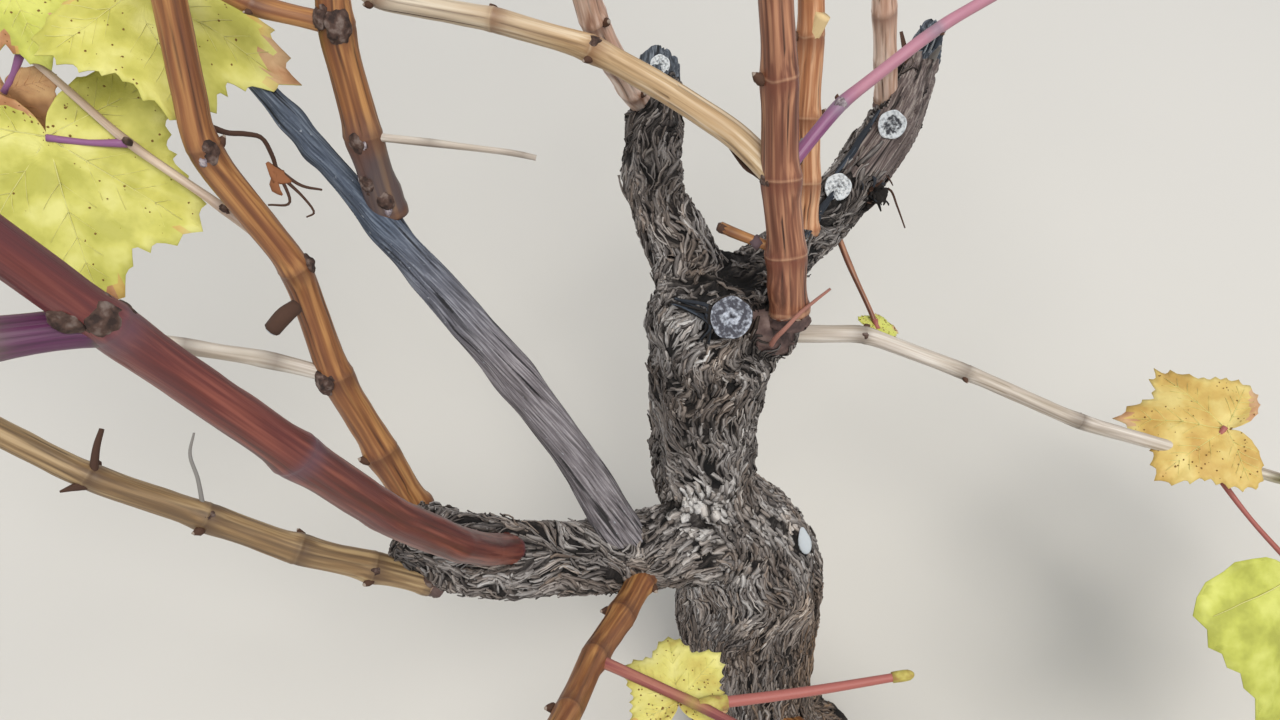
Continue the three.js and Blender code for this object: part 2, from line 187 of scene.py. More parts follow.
# Sawn end grain left to weather: dark wood under a chalky white crust, which is whole where rings says so
# from the pith to the rim and breaks up elsewhere. Whatever its size, an end's own radius is 5.
def makeSawnEnd(name, pale, dark, blotch, *rings):
    material, tree = newMaterial(name, 0.88, 1.45)
    grain = attribute(tree, "grain", "Vector")
    crust = noise(tree, grain, blotch, 3.0)
    reach = addNode(tree, "ShaderNodeVectorMath", {0: grain}, operation="LENGTH").outputs["Value"]
    bent = maths(tree, "MULTIPLY_ADD", noise(tree, grain, 0.35, 2.0), 3.2, reach)
    kept = maths(tree, "ADD", ramp(tree, shareBetween(tree, bent, 1.6, 6.6), *rings), crust)
    mask = ramp(tree, kept, (0.64, "#000000"), (0.92, "#FFFFFF"))
    flaky = ramp(tree, crust, (0.34, "#8E9298"), (0.56, "#FFFFFF"))
    colour = mixColour(tree, mask, dark, mixColour(tree, 0.7, pale, flaky, "MULTIPLY"))
    return finishMaterial(material, colour, kept, 0.8, 0.0008)


# One even colour with a fine tooth, for small joined things: leaf tissue, torn bark, buds, dry stalks.
def makePlain(name, colour, roughness, grit=1.2, depth=0.0002, ior=1.45):
    material, tree = newMaterial(name, roughness, ior)
    place = addNode(tree, "ShaderNodeTexCoord").outputs["Object"]
    return finishMaterial(material, colour, noise(tree, place, 1000 / grit, 2.0), 0.5, depth)


# Mottled from dull to pale: leaf tissue that yellows in patches, and the crust of old nodes.
def makeMottled(name, tones, patch=13.0, roughness=0.56, depth=0.0005):
    material, tree = newMaterial(name, roughness, 1.42)
    place = addNode(tree, "ShaderNodeTexCoord").outputs["Object"]
    colour = ramp(tree, noise(tree, place, 1000 / patch, 3.0), *zip((0.36, 0.5, 0.66), tones.split()))
    return finishMaterial(material, colour, noise(tree, place, 5500 / patch, 3.0), 0.5, depth)


# Each with the tones of its streaks from low to high, its clouds, nodes, grooves and broken threads, then how
# strong its dark lines are, its roughness, and the colour it turns to with the stretch it turns over.
brownCane = "#6E4428 #905E35 #B5834E #7C482C #54301F #3C2112 #B98A5E"
caneLooks = {
    "red cane": ("#58301F #80503A #B88463 #724430 #6A3626 #3A1D12 #CFA380", 3.6, 0.4),
    "brown cane": (brownCane, 2.2, 0.44),
    "orange cane": ("#8A5433 #B47C54 #D8AA84 #9E623C #6C3C26 #50301C #DDB68E", 2.0, 0.46),
    "light cane": ("#A67C66 #D0AC96 #EED6C6 #BE907A #6C4432 #573725 #DDB68E", 2.2, 0.46),
    "tan cane": ("#987C58 #C0A47E #DCCAAE #B08E66 #74492A #4A3018 #DDC8A4", 2.2, 0.5, ("#D4CCBC", 100, 180)),
    "olive cane": ("#64503A #8E7350 #B69B72 #80603A #4E3828 #3A2A1A #C8AC80", 2.0, 0.5),
    "dark cane": ("#4A1E14 #64281C #8A4A3A #52242A #5E4450 #2A110C #8E6A66", 0.8, 0.4, ("#6A3E48", 190, 390)),
    "pale cane": ("#92867A #BAAEA2 #D8D0C6 #A09078 #6E6258 #76664F #D8CEBC", 1.2, 0.62),
    "plum shoot": ("#42203A #5A2C4E #753E68 #4E2A44 #6A6E50 #46203A #8A7480", 0.6, 0.44),
    "purple shoot": ("#643058 #78426A #916084 #8A4C74 #857A88 #5E2E54 #A890A0", 0.5, 0.42,
                     ("#BC8492", 33, 46)),
    "beige stalk": ("#A8937F #C9B49E #DCCBB8 #BC9C8C #8C7468 #8C7560 #DCD0C0", 0.8, 0.56),
    "pink stalk": ("#743A3A #8C4C4A #AA6E60 #986048 #A89A4A #7A3844 #C8B46A", 0.5, 0.5),
    "grey footed cane": (brownCane, 2.2, 0.44, ("#434247", 44, 24)),
}
caneWood = [makeCane(name, *look) for name, look in caneLooks.items()]
bark = makeBark("shaggy vine bark", ((0.1, "#0B0909"), (0.34, "#211D1C"), (0.52, "#47423F"),
                                     (0.72, "#7C7672"), (0.95, "#AFAAA6")), 0.0008)
looseBark = makeBark("loose bark flakes", ((0.06, "#171413"), (0.28, "#393432"), (0.5, "#6A6461"),
                                           (0.72, "#9A9592"), (0.95, "#CFCCC9")), 0.0005)
deadWood = makeDeadWood("weathered grey wood", ("#4A4546", "#777175", "#A19C9F"),
                        ("#2F3642", "#4E5766", "#747E8C"), (120, 190))
strippedWood = makeDeadWood("stripped vine wood", ("#3E3433", "#6C5F5C", "#A0968F"), checkWidth=1.7)
slateWood = makeDeadWood("slate grey vine wood", ("#24272D", "#454B54", "#858C95"), checkWidth=1.4)
youngBark = makeMottled("young red bark", "#3A2C2A #5A4642 #75615B", 7.0, 0.7)
sawnWhite = makeSawnEnd("chalky sawn end", "#DDE2E5", "#6A6C70", 0.8, (0.0, "#8C8C8C"), (1.0, "#BCBCBC"))
sawnRing = makeSawnEnd("sawn end with a white rim", "#D2D7DB", "#3A3B40", 0.75, (0.0, "#9A9A9A"),
                       (0.24, "#7A7A7A"), (0.58, "#808080"), (0.74, "#C8C8C8"), (1.0, "#C8C8C8"))
sawnDark = makeSawnEnd("old dark sawn end", "#B4B9C4", "#46464E", 0.9, (0.0, "#6A6A6A"), (0.24, "#A2A2A2"),
                       (0.4, "#A8A8A8"), (0.52, "#606060"), (0.84, "#6C6C6C"), (0.96, "#989898"))
print("materials made")


# Numbers that repeat

# The same seed always gives the same plant.
def makeRandom(seed):
    state = [seed]

    def nextShare():
        state[0] = (state[0] * 1664525 + 1013904223) & 0xFFFFFFFF
        return state[0] / 4294967296
    return nextShare


# Soft noise from -1 to 1 at each row of an array of places.
def softNoise(places, seed):
    base = np.floor(places).astype(np.int64)
    part = places - base
    part = part * part * (3 - 2 * part)
    total = np.zeros(len(places))
    for corner in range(8):
        step = np.array([corner & 1, corner >> 1 & 1, corner >> 2 & 1])
        cell = base + step
        mixed = (cell[:, 0] * 73856093 ^ cell[:, 1] * 19349663 ^ cell[:, 2] * 83492791 ^ seed * 2654435761)
        mixed = ((mixed & 0x7FFFFFFF) * 1103515245 + 12345) & 0x7FFFFFFF
        mixed = ((mixed ^ mixed >> 13) * 1103515245 + 12345) & 0x7FFFFFFF
        weight = np.prod(np.where(step, part, 1 - part), axis=1)
        total += (mixed / 0x3FFFFFFF - 1) * weight
    return total


def noiseAt(seed, x, y, z):
    return softNoise(np.stack(np.broadcast_arrays(x, y, z), axis=1), seed)


# Falls from 1 at no distance to nearly nothing at two reaches.
def bell(distance, reach):
    return np.exp(-(distance / reach) ** 2)


def lerp(first, second, share):
    return first + (second - first) * share


def rowsOf(vectors):
    return np.array([list(v) for v in vectors], dtype=float)


def lengths(rows):
    return np.linalg.norm(rows, axis=1)


def heading(azimuth, rise):
    turn, lift = math.radians(azimuth), math.radians(rise)
    return Vector((math.cos(lift) * math.cos(turn), math.cos(lift) * math.sin(turn), math.sin(lift)))


def squareTo(way, wanted):
    return (wanted - way * wanted.dot(way)).normalized()


def levelSide(way):
    return Vector((-way.y, way.x, 0.001)).normalized()


# Meshes

def deselectAll():
    for thing in bpy.context.selected_objects:
        thing.select_set(False)


# Joins parts into one mesh object. A part has points in mm, faces, a material number for each face or one
# for all, and its attributes: one number or one triple for each point.
def makePiece(name, parts, materials):
    faces, slots, offset = [], [], 0
    for part in parts:
        faces += [[corner + offset for corner in face] for face in part["faces"]]
        material = part.get("material", 0)
        slots += [material] * len(part["faces"]) if isinstance(material, int) else list(material)
        offset += len(part["points"])
    mesh = bpy.data.meshes.new(name)
    mesh.from_pydata((np.concatenate([part["points"] for part in parts]) * mm).tolist(), [], faces)
    mesh.polygons.foreach_set("material_index", np.array(slots, dtype=np.int32))
    for material in materials:
        mesh.materials.append(material)
    piece = bpy.data.objects.new(name, mesh)
    for label, width in (("grain", 3), ("groove", 1), ("nearNode", 1), ("relief", 1), ("warm", 1)):
        if any(label in part for part in parts):
            values = [part.get(label, np.zeros((len(part["points"]), width))) for part in parts]
            storeValues(piece, label, np.concatenate([np.reshape(v, (-1, width)) for v in values]))
    smoothAll(piece)
    mesh.validate()
    mesh.update()
    bpy.context.scene.collection.objects.link(piece)
    return piece


def smoothAll(piece):
    piece.data.polygons.foreach_set("use_smooth", np.full(len(piece.data.polygons), True))


def readPoints(piece, what="co"):
    values = np.zeros(len(piece.data.vertices) * 3, dtype=np.float32)
    piece.data.vertices.foreach_get(what, values)
    return values.reshape(-1, 3).astype(float)


def movePoints(piece, places):
    piece.data.vertices.foreach_set("co", (places * mm).astype(np.float32).reshape(-1))


def storeValues(piece, label, values):
    isTriple = values.shape[-1] == 3
    store = piece.data.attributes.new(label, "FLOAT_VECTOR" if isTriple else "FLOAT", "POINT")
    store.data.foreach_set("vector" if isTriple else "value", values.astype(np.float32).reshape(-1))


# One even skin over all that a piece holds.
def remesh(piece, voxel):
    deselectAll()
    bpy.context.view_layer.objects.active = piece
    piece.select_set(True)
    bpy.ops.object.modifier_add(type="REMESH")
    piece.modifiers[-1].mode = "VOXEL"
    piece.modifiers[-1].voxel_size = voxel * mm
    bpy.ops.object.modifier_apply(modifier=piece.modifiers[-1].name)


def place(piece, slot, *nodes):
    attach(piece, "root")
    if nodes:
        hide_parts(*nodes)
    print("made", piece.name, len(piece.data.polygons), "faces")


def anglesRound(count):
    return 2 * np.pi * np.arange(count) / count


# Ways along a run of points, and a side and an over carried along it without twisting.
def frameRun(points, side=None):
    ways = np.gradient(points, axis=0)
    ways /= lengths(ways)[:, None]
    side = np.array(side if side is not None else levelSide(Vector(ways[0])), dtype=float)
    sides = []
    for way in ways:
        side = side - way * side.dot(way)
        side /= np.linalg.norm(side)
        sides.append(side.copy())
    sides = np.array(sides)
    return sides, np.cross(ways, sides)


# A closed skin round a run of points. reach is a row of radii for each point, one for each way round.
def skinRun(points, sides, overs, reach):
    count, around = reach.shape
    angles = anglesRound(around)
    sideShare, overShare = np.cos(angles)[None, :, None], np.sin(angles)[None, :, None]
    rim = sides[:, None, :] * sideShare + overs[:, None, :] * overShare
    skin = (points[:, None, :] + rim * reach[:, :, None]).reshape(-1, 3)
    ring = np.arange(around)
    after = (ring + 1) % around
    faces = []
    for low in range(0, (count - 1) * around, around):
        corners = [ring + low, after + low, after + low + around, ring + low + around]
        faces += np.stack(corners, axis=1).tolist()
    return skin, faces + [ring[::-1].tolist(), (ring + (count - 1) * around).tolist()]


# A limb's own coordinates: two across it and one along it.
def grainOf(reach, along):
    angles = anglesRound(reach.shape[1])
    return np.c_[(reach * np.cos(angles)).reshape(-1), (reach * np.sin(angles)).reshape(-1),
                 np.repeat(along, len(angles))]


# A plain round or flat rod through a few points, for twigs, stalks, strips and threads.
def rodPart(points, radii, around, material, spacing, flat=1.0):
    points, radii = resample(points, np.array(radii, dtype=float), spacing)
    sides, overs = frameRun(points)
    reach = np.repeat(radii[:, None], around, axis=1)
    skin, faces = skinRun(points, sides, overs * flat, reach)
    along = np.append(0, np.cumsum(lengths(np.diff(points, axis=0))))
    return {"points": skin, "faces": faces, "grain": grainOf(reach, along), "material": material}


# More points on a smooth curve through a few, about spacing apart.
def resample(points, radii, spacing):
    rows = [Vector(p) for p in points]
    length = sum((b - a).length for a, b in zip(rows, rows[1:]))
    shares = np.linspace(0, 1, max(len(rows), int(length / spacing) + 1))
    smooth = rowsOf(curvePoint(rows, share) for share in shares)
    return smooth, np.interp(shares, np.linspace(0, 1, len(radii)), radii)


def curvePoint(rows, share):
    at = share * (len(rows) - 1)
    i = min(int(at), len(rows) - 2)
    w = at - i
    p1, p2 = rows[i], rows[i + 1]
    p0 = rows[i - 1] if i else p1 * 2 - p2
    p3 = rows[i + 2] if i + 2 < len(rows) else p2 * 2 - p1
    m1, m2 = (p2 - p0) * 0.5, (p3 - p1) * 0.5
    return (p1 * (2 * w ** 3 - 3 * w ** 2 + 1) + m1 * (w ** 3 - 2 * w ** 2 + w)
            + p2 * (3 * w ** 2 - 2 * w ** 3) + m2 * (w ** 3 - w ** 2))


# How the plant grows: the sizes and headings of every limb

oldSizes = {
    "trunkSteps": 21, "armSteps": 3, "ridge": 0.07, "flareTop": 60, "footRidge": 1.6, "spacing": 2.5,
    "trunkRun": [
        [0, 0, 0, 42], [-5, 8, 18, 33], [-8, 22, 46, 29.5], [-11, 46, 80, 34],
        [-13, 67, 109, 37], [-35, 89, 143, 24], [-38, 106, 176, 24], [-37, 120, 208, 27],
        [-35, 130, 236, 32], [-35, 137, 256, 25],
    ],
    "headStub": {"foot": [-36, 130, 251], "heading": [-78, 38], "long": 27, "base": 19, "tip": 17},
    "headKnob": {"foot": [-34, 126, 234], "heading": [-24, 34], "long": 34, "base": 38, "tip": 22},
}
oldArms = {
    "arm_back": [[-42, 138, 240, 17], [-53, 163, 250, 14], [-62, 195, 254, 12.5], [-61, 240, 256, 12],
                 [-60, 273, 254, 10]],
    "arm_right": [[-24, 138, 236, 18], [2, 174, 229, 13], [27, 205, 226, 12.5], [54, 238, 245, 12.5],
                  [70, 270, 257, 9], [78, 290, 264, 4]],
    "arm_left": [[-18, 74, 122, 25], [-62, 58, 146, 18], [-108, 44, 172, 15], [-142, 38, 194, 17],
                 [-166, 42, 212, 13]],
    "spur_dead": [[-74, 54, 152, 11], [-98, 72, 222, 8.5], [-134, 95, 286, 7.2], [-174, 126, 328, 4.6],
                  [-214, 157, 367, 2.9]],
}

# A heading is the share of the length that it holds at, its azimuth and its rise in degrees. A limb starts at
# its foot, or on a node of another. look is its wood, and slot its material slot where that isn't ripe_cane.
canes = {
    "cane_head": {
        "foot": [-8, 115, 262], "headings": [[0, 109, 64], [0.2, 97, 62], [1, 104, 80]], "look": "red cane",
        "long": 740, "base": 14.5, "tip": 5, "bare": 7, "seed": 11, "internode": 68, "thread": 0.55,
        "humps": [(13, 30, 7, 2.2)]},
    "cane_crossing": {
        "on": ("cane_head", 2), "look": "tan cane", "thread": 0.35, "plain": (1, 2),
        "headings": [[0, 136, 12], [0.21, 181, 11], [0.28, 160, 40], [0.45, 146, 50], [1, 140, 62]],
        "long": 620, "base": 10.5, "tip": 4, "bare": 7, "seed": 23},
    "cane_rear": {
        "foot": [7, 178, 236], "headings": [[0, 97, 60], [0.2, 94, 62], [1, 30, 56]], "look": "orange cane",
        "long": 660, "base": 12.5, "tip": 4.5, "bare": 8, "seed": 31, "thread": 0.35},
    "cane_arm": {
        "foot": [52, 250, 252], "headings": [[0, 186, 77], [0.14, 186, 77], [0.5, 16, 64], [1, 0, 42]],
        "long": 620, "base": 11.5, "tip": 4, "bare": 7, "seed": 47, "look": "light cane"},
    "cane_back": {
        "foot": [-66, 240, 256], "headings": [[0, 237, 59], [0.2, 248, 78], [1, 112, 58]],
        "long": 640, "base": 12.5, "tip": 4.5, "bare": 8, "seed": 53, "look": "light cane"},
    "cane_spur": {
        "foot": [-161, 119, 319], "headings": [[0, 115, 72], [0.2, 72, 55], [1, 112, 62]],
        "long": 560, "base": 12, "tip": 4.5, "bare": 5, "seed": 61, "internode": 80,
        "look": "grey footed cane", "humps": [(9, 200, 5, 1.6)]},
    "cane_left": {
        "foot": [-163, 51, 209],
        "headings": [[0, 134, 60], [0.11, 110, 64], [0.16, 144, 66], [0.24, 90, 62], [0.4, 140, 62],
                     [1, 150, 62]],
        "long": 740, "base": 12.5, "tip": 4.5, "bare": 7, "seed": 73, "internode": 83},
    "cane_near": {
        "foot": [-125, 39, 195], "headings": [[0, 257, 67], [0.22, 178, 71], [1, 170, 50]],
        "long": 760, "base": 13.5, "tip": 4.5, "bare": 7, "seed": 89, "internode": 87, "thread": 0.0,
        "look": "dark cane", "slot": "dark_cane", "plain": (1, 2, 3)},
    "cane_low": {
        "foot": [-158, 26, 191], "headings": [[0, 182, 39], [0.3, 159, 36], [1, 192, 58]],
        "long": 620, "base": 11.5, "tip": 4, "bare": 7, "seed": 97, "internode": 66, "look": "olive cane"},
    "cane_pale": {
        "foot": [-11, 124, 233], "headings": [[0, 0, 4], [0.1, -20, -14], [0.5, -4, -17], [1, -16, 24]],
        "long": 430, "base": 8, "tip": 3, "bare": 3, "seed": 101, "internode": 100, "look": "pale cane",
        "slot": "pale_cane", "leaves": [[4, 60, 50, 16, 40, 165, 8]], "tints": [3], "leafSeed": 40},
    "cane_front": {
        "foot": [-60, 56, 142], "headings": [[0, 246, 36], [0.3, 262, 54], [1, 262, 76]],
        "long": 700, "base": 12, "tip": 4.5, "bare": 8, "seed": 113},
    "cane_side": {
        "foot": [6, 2, 48], "headings": [[0, -46, 40], [0.4, -40, 56], [1, -38, 76]],
        "long": 740, "base": 12, "tip": 4.5, "bare": 8, "seed": 127},
    "shoot_purple": {
        "on": ("cane_head", 2), "headings": [[0, 48, 26], [0.12, 20, 30], [0.4, 10, 33], [1, -14, 46]],
        "long": 330, "base": 5.2, "tip": 2.8, "bare": 3, "seed": 131, "internode": 90, "look": "purple shoot",
        "slot": "green_shoot"},
    "shoot_side": {
        "on": ("cane_spur", 2), "headings": [[0, 176, 12], [0.12, 160, 26], [0.3, 190, 62], [1, 215, 64]],
        "long": 260, "base": 6.5, "tip": 3, "bare": 3, "seed": 142},
    "shoot_near": {
        "on": ("cane_near", 5), "headings": [[0, 214, 26], [1, 205, 52]], "look": "plum shoot",
        "long": 300, "base": 8.5, "tip": 3.5, "bare": 3, "seed": 139, "slot": "green_shoot"},
}

# A leaf is its node, the azimuth and rise of its stalk, the stalk's length, and the blade's size, azimuth
# and droop.
sprays = {
    "spray_left": {
        "on": ("cane_left", 3), "headings": [[0, 156, 38], [0.25, 152, 28], [1, 142, 44]],
        "long": 160, "base": 4.4, "tip": 3, "internode": 77, "slim": 0.74, "look": "beige stalk",
        "tints": [0, 0, 5, 2], "leafSeed": 100,
        "leaves": [[2, 186, 8, 25, 56, -76, 38], [3, 20, 14, 42, 50, -8, 24],
                   [3, -140, -45, 18, 26, 255, 50], [3, 100, 40, 22, 30, -60, 20]]},
    "spray_front": {
        "on": ("cane_front", 3), "headings": [[0, -24, 12], [1, -50, 26]], "look": "pink stalk",
        "long": 110, "base": 4.6, "tip": 3.2, "internode": 118, "tints": [None, 1, 1], "leafSeed": 110,
        "leaves": [[1, 8, 0, 82, 0, 0, 0], [1, 150, -24, 10, 27, 96, 8], [2, -40, 30, 40, 46, -70, 30]]},
    "twig_beige": {"on": ("cane_left", 2), "headings": [[0, 186, 34], [1, 190, 26]], "long": 98, "base": 6,
                   "tip": 4.4, "look": "pale cane"},
    "twig_short": {"on": ("cane_head", 1), "headings": [[0, 159, 4], [1, 140, 10]], "long": 48, "base": 4.2,
                   "tip": 3.4},
    "twig_grey": {"on": ("cane_spur", 1), "headings": [[0, -4, -2], [1, -6, -16]], "long": 62, "base": 3,
                  "tip": 2, "look": "pale cane"},
    "twig_thin": {"foot": [24, 198, 224], "headings": [[0, -68, -20], [1, -66, -28]], "long": 56, "base": 3.2,
                  "tip": 2.2, "look": "red cane", "tints": [2], "leafSeed": 90,
                  "leaves": [[2, -60, -20, 5, 14, 20, 20]]},
}
limbs = {**canes, **sprays}
looks = {name: list(caneLooks).index(limb.get("look", "brown cane")) for name, limb in limbs.items()}
zigzag = 0.05
usualInternode = 62
nodePlaces = {}


def wayAt(headings, share):
    row = 1
    while row < len(headings) - 1 and headings[row][0] < share:
        row += 1
    (low, *first), (high, *second) = headings[row - 1], headings[row]
    return heading(*first).lerp(heading(*second), (share - low) / (high - low)).normalized()


# The internodes of a cane, each with its place, way, side, length and radius.
def growCane(name, cane):
    side = levelSide(wayAt(cane["headings"], 0))
    at = nodePlaces[cane["on"][0]][cane["on"][1]].copy() if "on" in cane else Vector(cane["foot"])
    joints, grown = [], 0
    while grown < cane["long"]:
        # The internodes at the foot are short.
        length = cane.get("internode", usualInternode) * min(1, 0.4 + 0.08 * len(joints))
        way = wayAt(cane["headings"], grown / cane["long"])
        side = squareTo(way, side)
        way = (way + side * (zigzag if len(joints) % 2 else -zigzag)).normalized()
        joints.append({"at": at.copy(), "way": way, "side": side.copy(), "length": length, "along": grown,
                       "radius": 0.5 * lerp(cane["base"], cane["tip"], grown / cane["long"])})
        at = at + way * length
        grown += length
    nodePlaces[name] = [joint["at"] for joint in joints]
    return joints


grown = {name: growCane(name, cane) for name, cane in limbs.items()}


# Old wood: the trunk, its head and its arms are one skin of bark

def woodRun(rows, steps, isTrunk=False):
    places = [Vector(row[:3]) for row in rows]
    length = sum((b - a).length for a, b in zip(places, places[1:]))
    count = int(length / oldSizes["spacing"])
    run = []
    for i in range(count + 1):
        share = i / count
        ahead, behind = min(share + 0.0001, 1), max(share - 0.0001, 0)
        way = (curvePoint(places, ahead) - curvePoint(places, behind)).normalized()
        at = curvePoint(places, share)
        side = squareTo(way, run[-1]["side"] if run else levelSide(way))
        where = share * (len(rows) - 1)
        row = min(int(where), len(rows) - 2)
        radius = lerp(rows[row][3], rows[row + 1][3], where - row)
        footShare = max(0, 1 - at.z / oldSizes["flareTop"]) if isTrunk else 0
        if isTrunk:
            way = way.lerp(up, footShare).normalized()
            side = squareTo(way, side)
        run.append({"at": at, "way": way, "side": side, "radius": radius, "ring": share * steps,
                    "ridge": 1 + oldSizes["footRidge"] * footShare})
    return run


def stubRun(stub):
    way = heading(*stub["heading"])
    side = squareTo(way, levelSide(way))
    return [{"at": Vector(stub["foot"]) + way * stub["long"] * share, "way": way, "side": side,
             "ring": 3 * share, "radius": 0.5 * lerp(stub["base"], stub["tip"], share), "ridge": 1}
            for share in np.linspace(0, 1, 12)]


def woodPart(run, around=40):
    angles = anglesRound(around)
    reach = []
    for s in run:
        rough = oldSizes["ridge"] * s["ridge"]
        reach.append(s["radius"] * (1 + rough * np.sin(3 * angles + 0.3 * s["ring"])
                                    + 0.6 * rough * np.sin(5 * angles - 0.5 * s["ring"])))
    overs = rowsOf(s["way"].cross(s["side"]) for s in run)
    ats, sides = rowsOf(s["at"] for s in run), rowsOf(s["side"] for s in run)
    skin, faces = skinRun(ats, sides, overs, np.array(reach))
    if run[0]["at"].z == 0:
        skin[:around, 2] = 0
    return {"points": skin, "faces": faces}


woodRuns = {"trunk": woodRun(oldSizes["trunkRun"], oldSizes["trunkSteps"], True),
            "headStub": stubRun(oldSizes["headStub"]), "headKnob": stubRun(oldSizes["headKnob"])}
for name, rows in oldArms.items():
    woodRuns[name] = woodRun(rows, oldSizes["armSteps"] * (len(rows) - 1))


# For each place: the nearest limb, how far along it is, the angle round it, and the limb's radius and way.
def followWood(places, names):
    stations = [dict(s, limb=index, along=i * oldSizes["spacing"]) for index, name in enumerate(names)
                for i, s in enumerate(woodRuns[name])]
    ats, waysAll, sidesAll = (rowsOf(s[key] for s in stations) for key in ("at", "way", "side"))
    radii, alongs, limbsAll = (np.array([s[key] for s in stations]) for key in ("radius", "along", "limb"))
    best = np.zeros(len(places), dtype=int)
    chunk = 8000   # keeps the table of distances small
    for start in range(0, len(places), chunk):
        away = places[start:start + chunk, None, :] - ats[None, :, :]
        best[start:start + chunk] = (np.linalg.norm(away, axis=2) / radii[None, :]).argmin(axis=1)
    away = places - ats[best]
    ways, sides = waysAll[best], sidesAll[best]
    angle = np.arctan2((away * np.cross(ways, sides)).sum(axis=1), (away * sides).sum(axis=1))
    return limbsAll[best], alongs[best] + (away * ways).sum(axis=1), angle, radii[best], ways


barkNodes = ["trunk", "headStub", "headKnob", "arm_back", "arm_right", "arm_left"]
trunk, armBack, armRight = (barkNodes.index(name) for name in ("trunk", "arm_back", "arm_right"))
barkSizes = {
    "voxel": 1.28, "softened": 6, "plates": 2.3, "fibres": 1.3, "fine": 0.45, "flakes": 1.0, "layers": 3.5,
    "swirl": 11.0, "calm": 3.0, "calmBelow": 90, "slateFrom": {armBack: 112, armRight: 152},
    "bareFrom": 88, "bareSide": (0.45, -0.45, 0.77), "checkDeep": 2.2, "checkWide": 0.14,
}


# Height of the bark in mm, its own grain coordinates, and how light it is from 0 to 1, painted shade
# included.
def barkRelief(places, limb, along, angle, radius):
    isCalm = (limb == trunk) & (along < barkSizes["calmBelow"])
    swirl = np.where(isCalm, barkSizes["calm"], barkSizes["swirl"])
    bend = softNoise(places / 15, 3) * swirl + softNoise(places / 6, 4) * swirl * 0.4
    turned = angle + bend / radius + limb * 1.3
    drift = softNoise(places / 9, 5) * swirl * 0.9
    x, y, z = radius * np.cos(turned), radius * np.sin(turned), along + drift + limb * 90
    plate = np.abs(noiseAt(11, x / 5.5, y / 5.5, z / 26)) ** 0.6 - 0.55
    fibre = np.abs(noiseAt(12, x / 2.6, y / 2.6, z / 11)) ** 0.7 - 0.5
    fine = noiseAt(13, x / 1.5, y / 1.5, z / 6)
    step = np.floor(noiseAt(14, x / 6, y / 6, z / 10) * barkSizes["layers"]) / barkSizes["layers"]
    parts = {"plates": plate, "fibres": fibre, "fine": fine, "flakes": step}
    raised = sum(barkSizes[kind] * part for kind, part in parts.items())
    # Lighter where the plates and fibres stand high, darker in the low gaps: partly the dark inner bark,
    # partly painted shade.
    shade = 0.42 + 0.5 * plate + 0.6 * fibre + 0.2 * fine + 0.16 * step
    return raised, np.c_[x, y, z], np.clip(shade, 0, 1)


# The bark is ash grey on the bulge and where layers peel, and browner towards the ground.
barkZones = [
    # place, reach, lighter, browner
    ([-36, 72, 138], 20, 0.3, 0.0), ([-4, 66, 122], 24, 0.22, 0.2), ([10, 34, 76], 22, -0.05, 0.5),
    ([-40, 72, 161], 11, 0.26, -0.4), ([-34, 112, 200], 20, -0.08, 0.0), ([-46, 114, 262], 10, 0.02, -0.3),
    ([-56, 124, 252], 16, 0.16, -0.3), ([-40, 96, 250], 9, 0.1, 0.2), ([-40, 96, 240], 14, -0.06, -0.1),
    ([6, 120, 250], 12, -0.12, 0.5), ([-22, 112, 258], 8, -0.05, 0.9), ([-62, 215, 254], 25, -0.08, -0.1),
    ([10, 180, 232], 26, -0.1, -0.6),
]


def barkTone(places):
    lighter = np.zeros(len(places))
    warm = np.clip(0.62 - places[:, 2] / 260, 0.1, 0.6) + 0.3 * softNoise(places / 16, 15)
    for at, reach, light, brown in barkZones:
        near = bell(lengths(places - np.array(at)), reach)
        lighter += light * near
        warm += brown * near
    return lighter, np.clip(warm, 0, 1)


# A soft dent or hump at one place, longer along an axis by the stretch.
def dent(places, at, reach, axis=None, stretch=1.0):
    away = places - np.array(at)
    if axis is not None:
        axis = np.array(heading(*axis))
        lengthwise = (away @ axis)[:, None] * axis
        away = (away - lengthwise) + lengthwise / stretch
    return bell(lengths(away), reach)


body = makePiece("old_wood", [woodPart(woodRuns[name]) for name in barkNodes], [bark])
remesh(body, barkSizes["voxel"])
bpy.ops.object.modifier_add(type="SMOOTH")
body.modifiers[-1].iterations = barkSizes["softened"]
bpy.ops.object.modifier_apply(modifier=body.modifiers[-1].name)

hollows = [
    # place, reach, heading, stretch, depth in mm
    ([-33, 121, 270], 6, (0, 0), 1.7, 5.0), ([-22, 31.5, 69], 3.6, (222, -55), 6.0, 5.5),
    ([33, 45, 42], 4.4, (-100, -38), 5.5, 5.5), ([-44, 60, 60], 6, (250, -70), 2.5, 4.0),
    ([-36, 94, 158], 5, (20, 0), 3.0, 4.0), ([18, 24, 52], 3, (240, -60), 5.0, 3.5),
    ([18.5, 44, 112], 2.8, (-88, -52), 6.0, 4.5), ([-34, 127, 262], 4.5, (0, 0), 1.6, 5.0),
    ([-25, 136, 256], 4.5, (10, 0), 1.5, 4.0), ([-40, 71, 164], 2.0, (10, 0), 5.0, 2.5),
    ([-38, 66, 155], 2.0, (5, 0), 5.0, 2.5),
]
# The smooth young skin between the cut and the pale cane, under the thickest cane.
smoothSkin = [([-9, 107, 256], 10), ([-3, 105, 248], 8), ([-18, 111, 258], 7), ([-30, 100, 257], 4)]

places, normals = readPoints(body) / mm, readPoints(body, "normal")
limb, along, angle, radius, ways = followWood(places, barkNodes)
raised, grain, shade = barkRelief(places, limb, along, angle, radius)
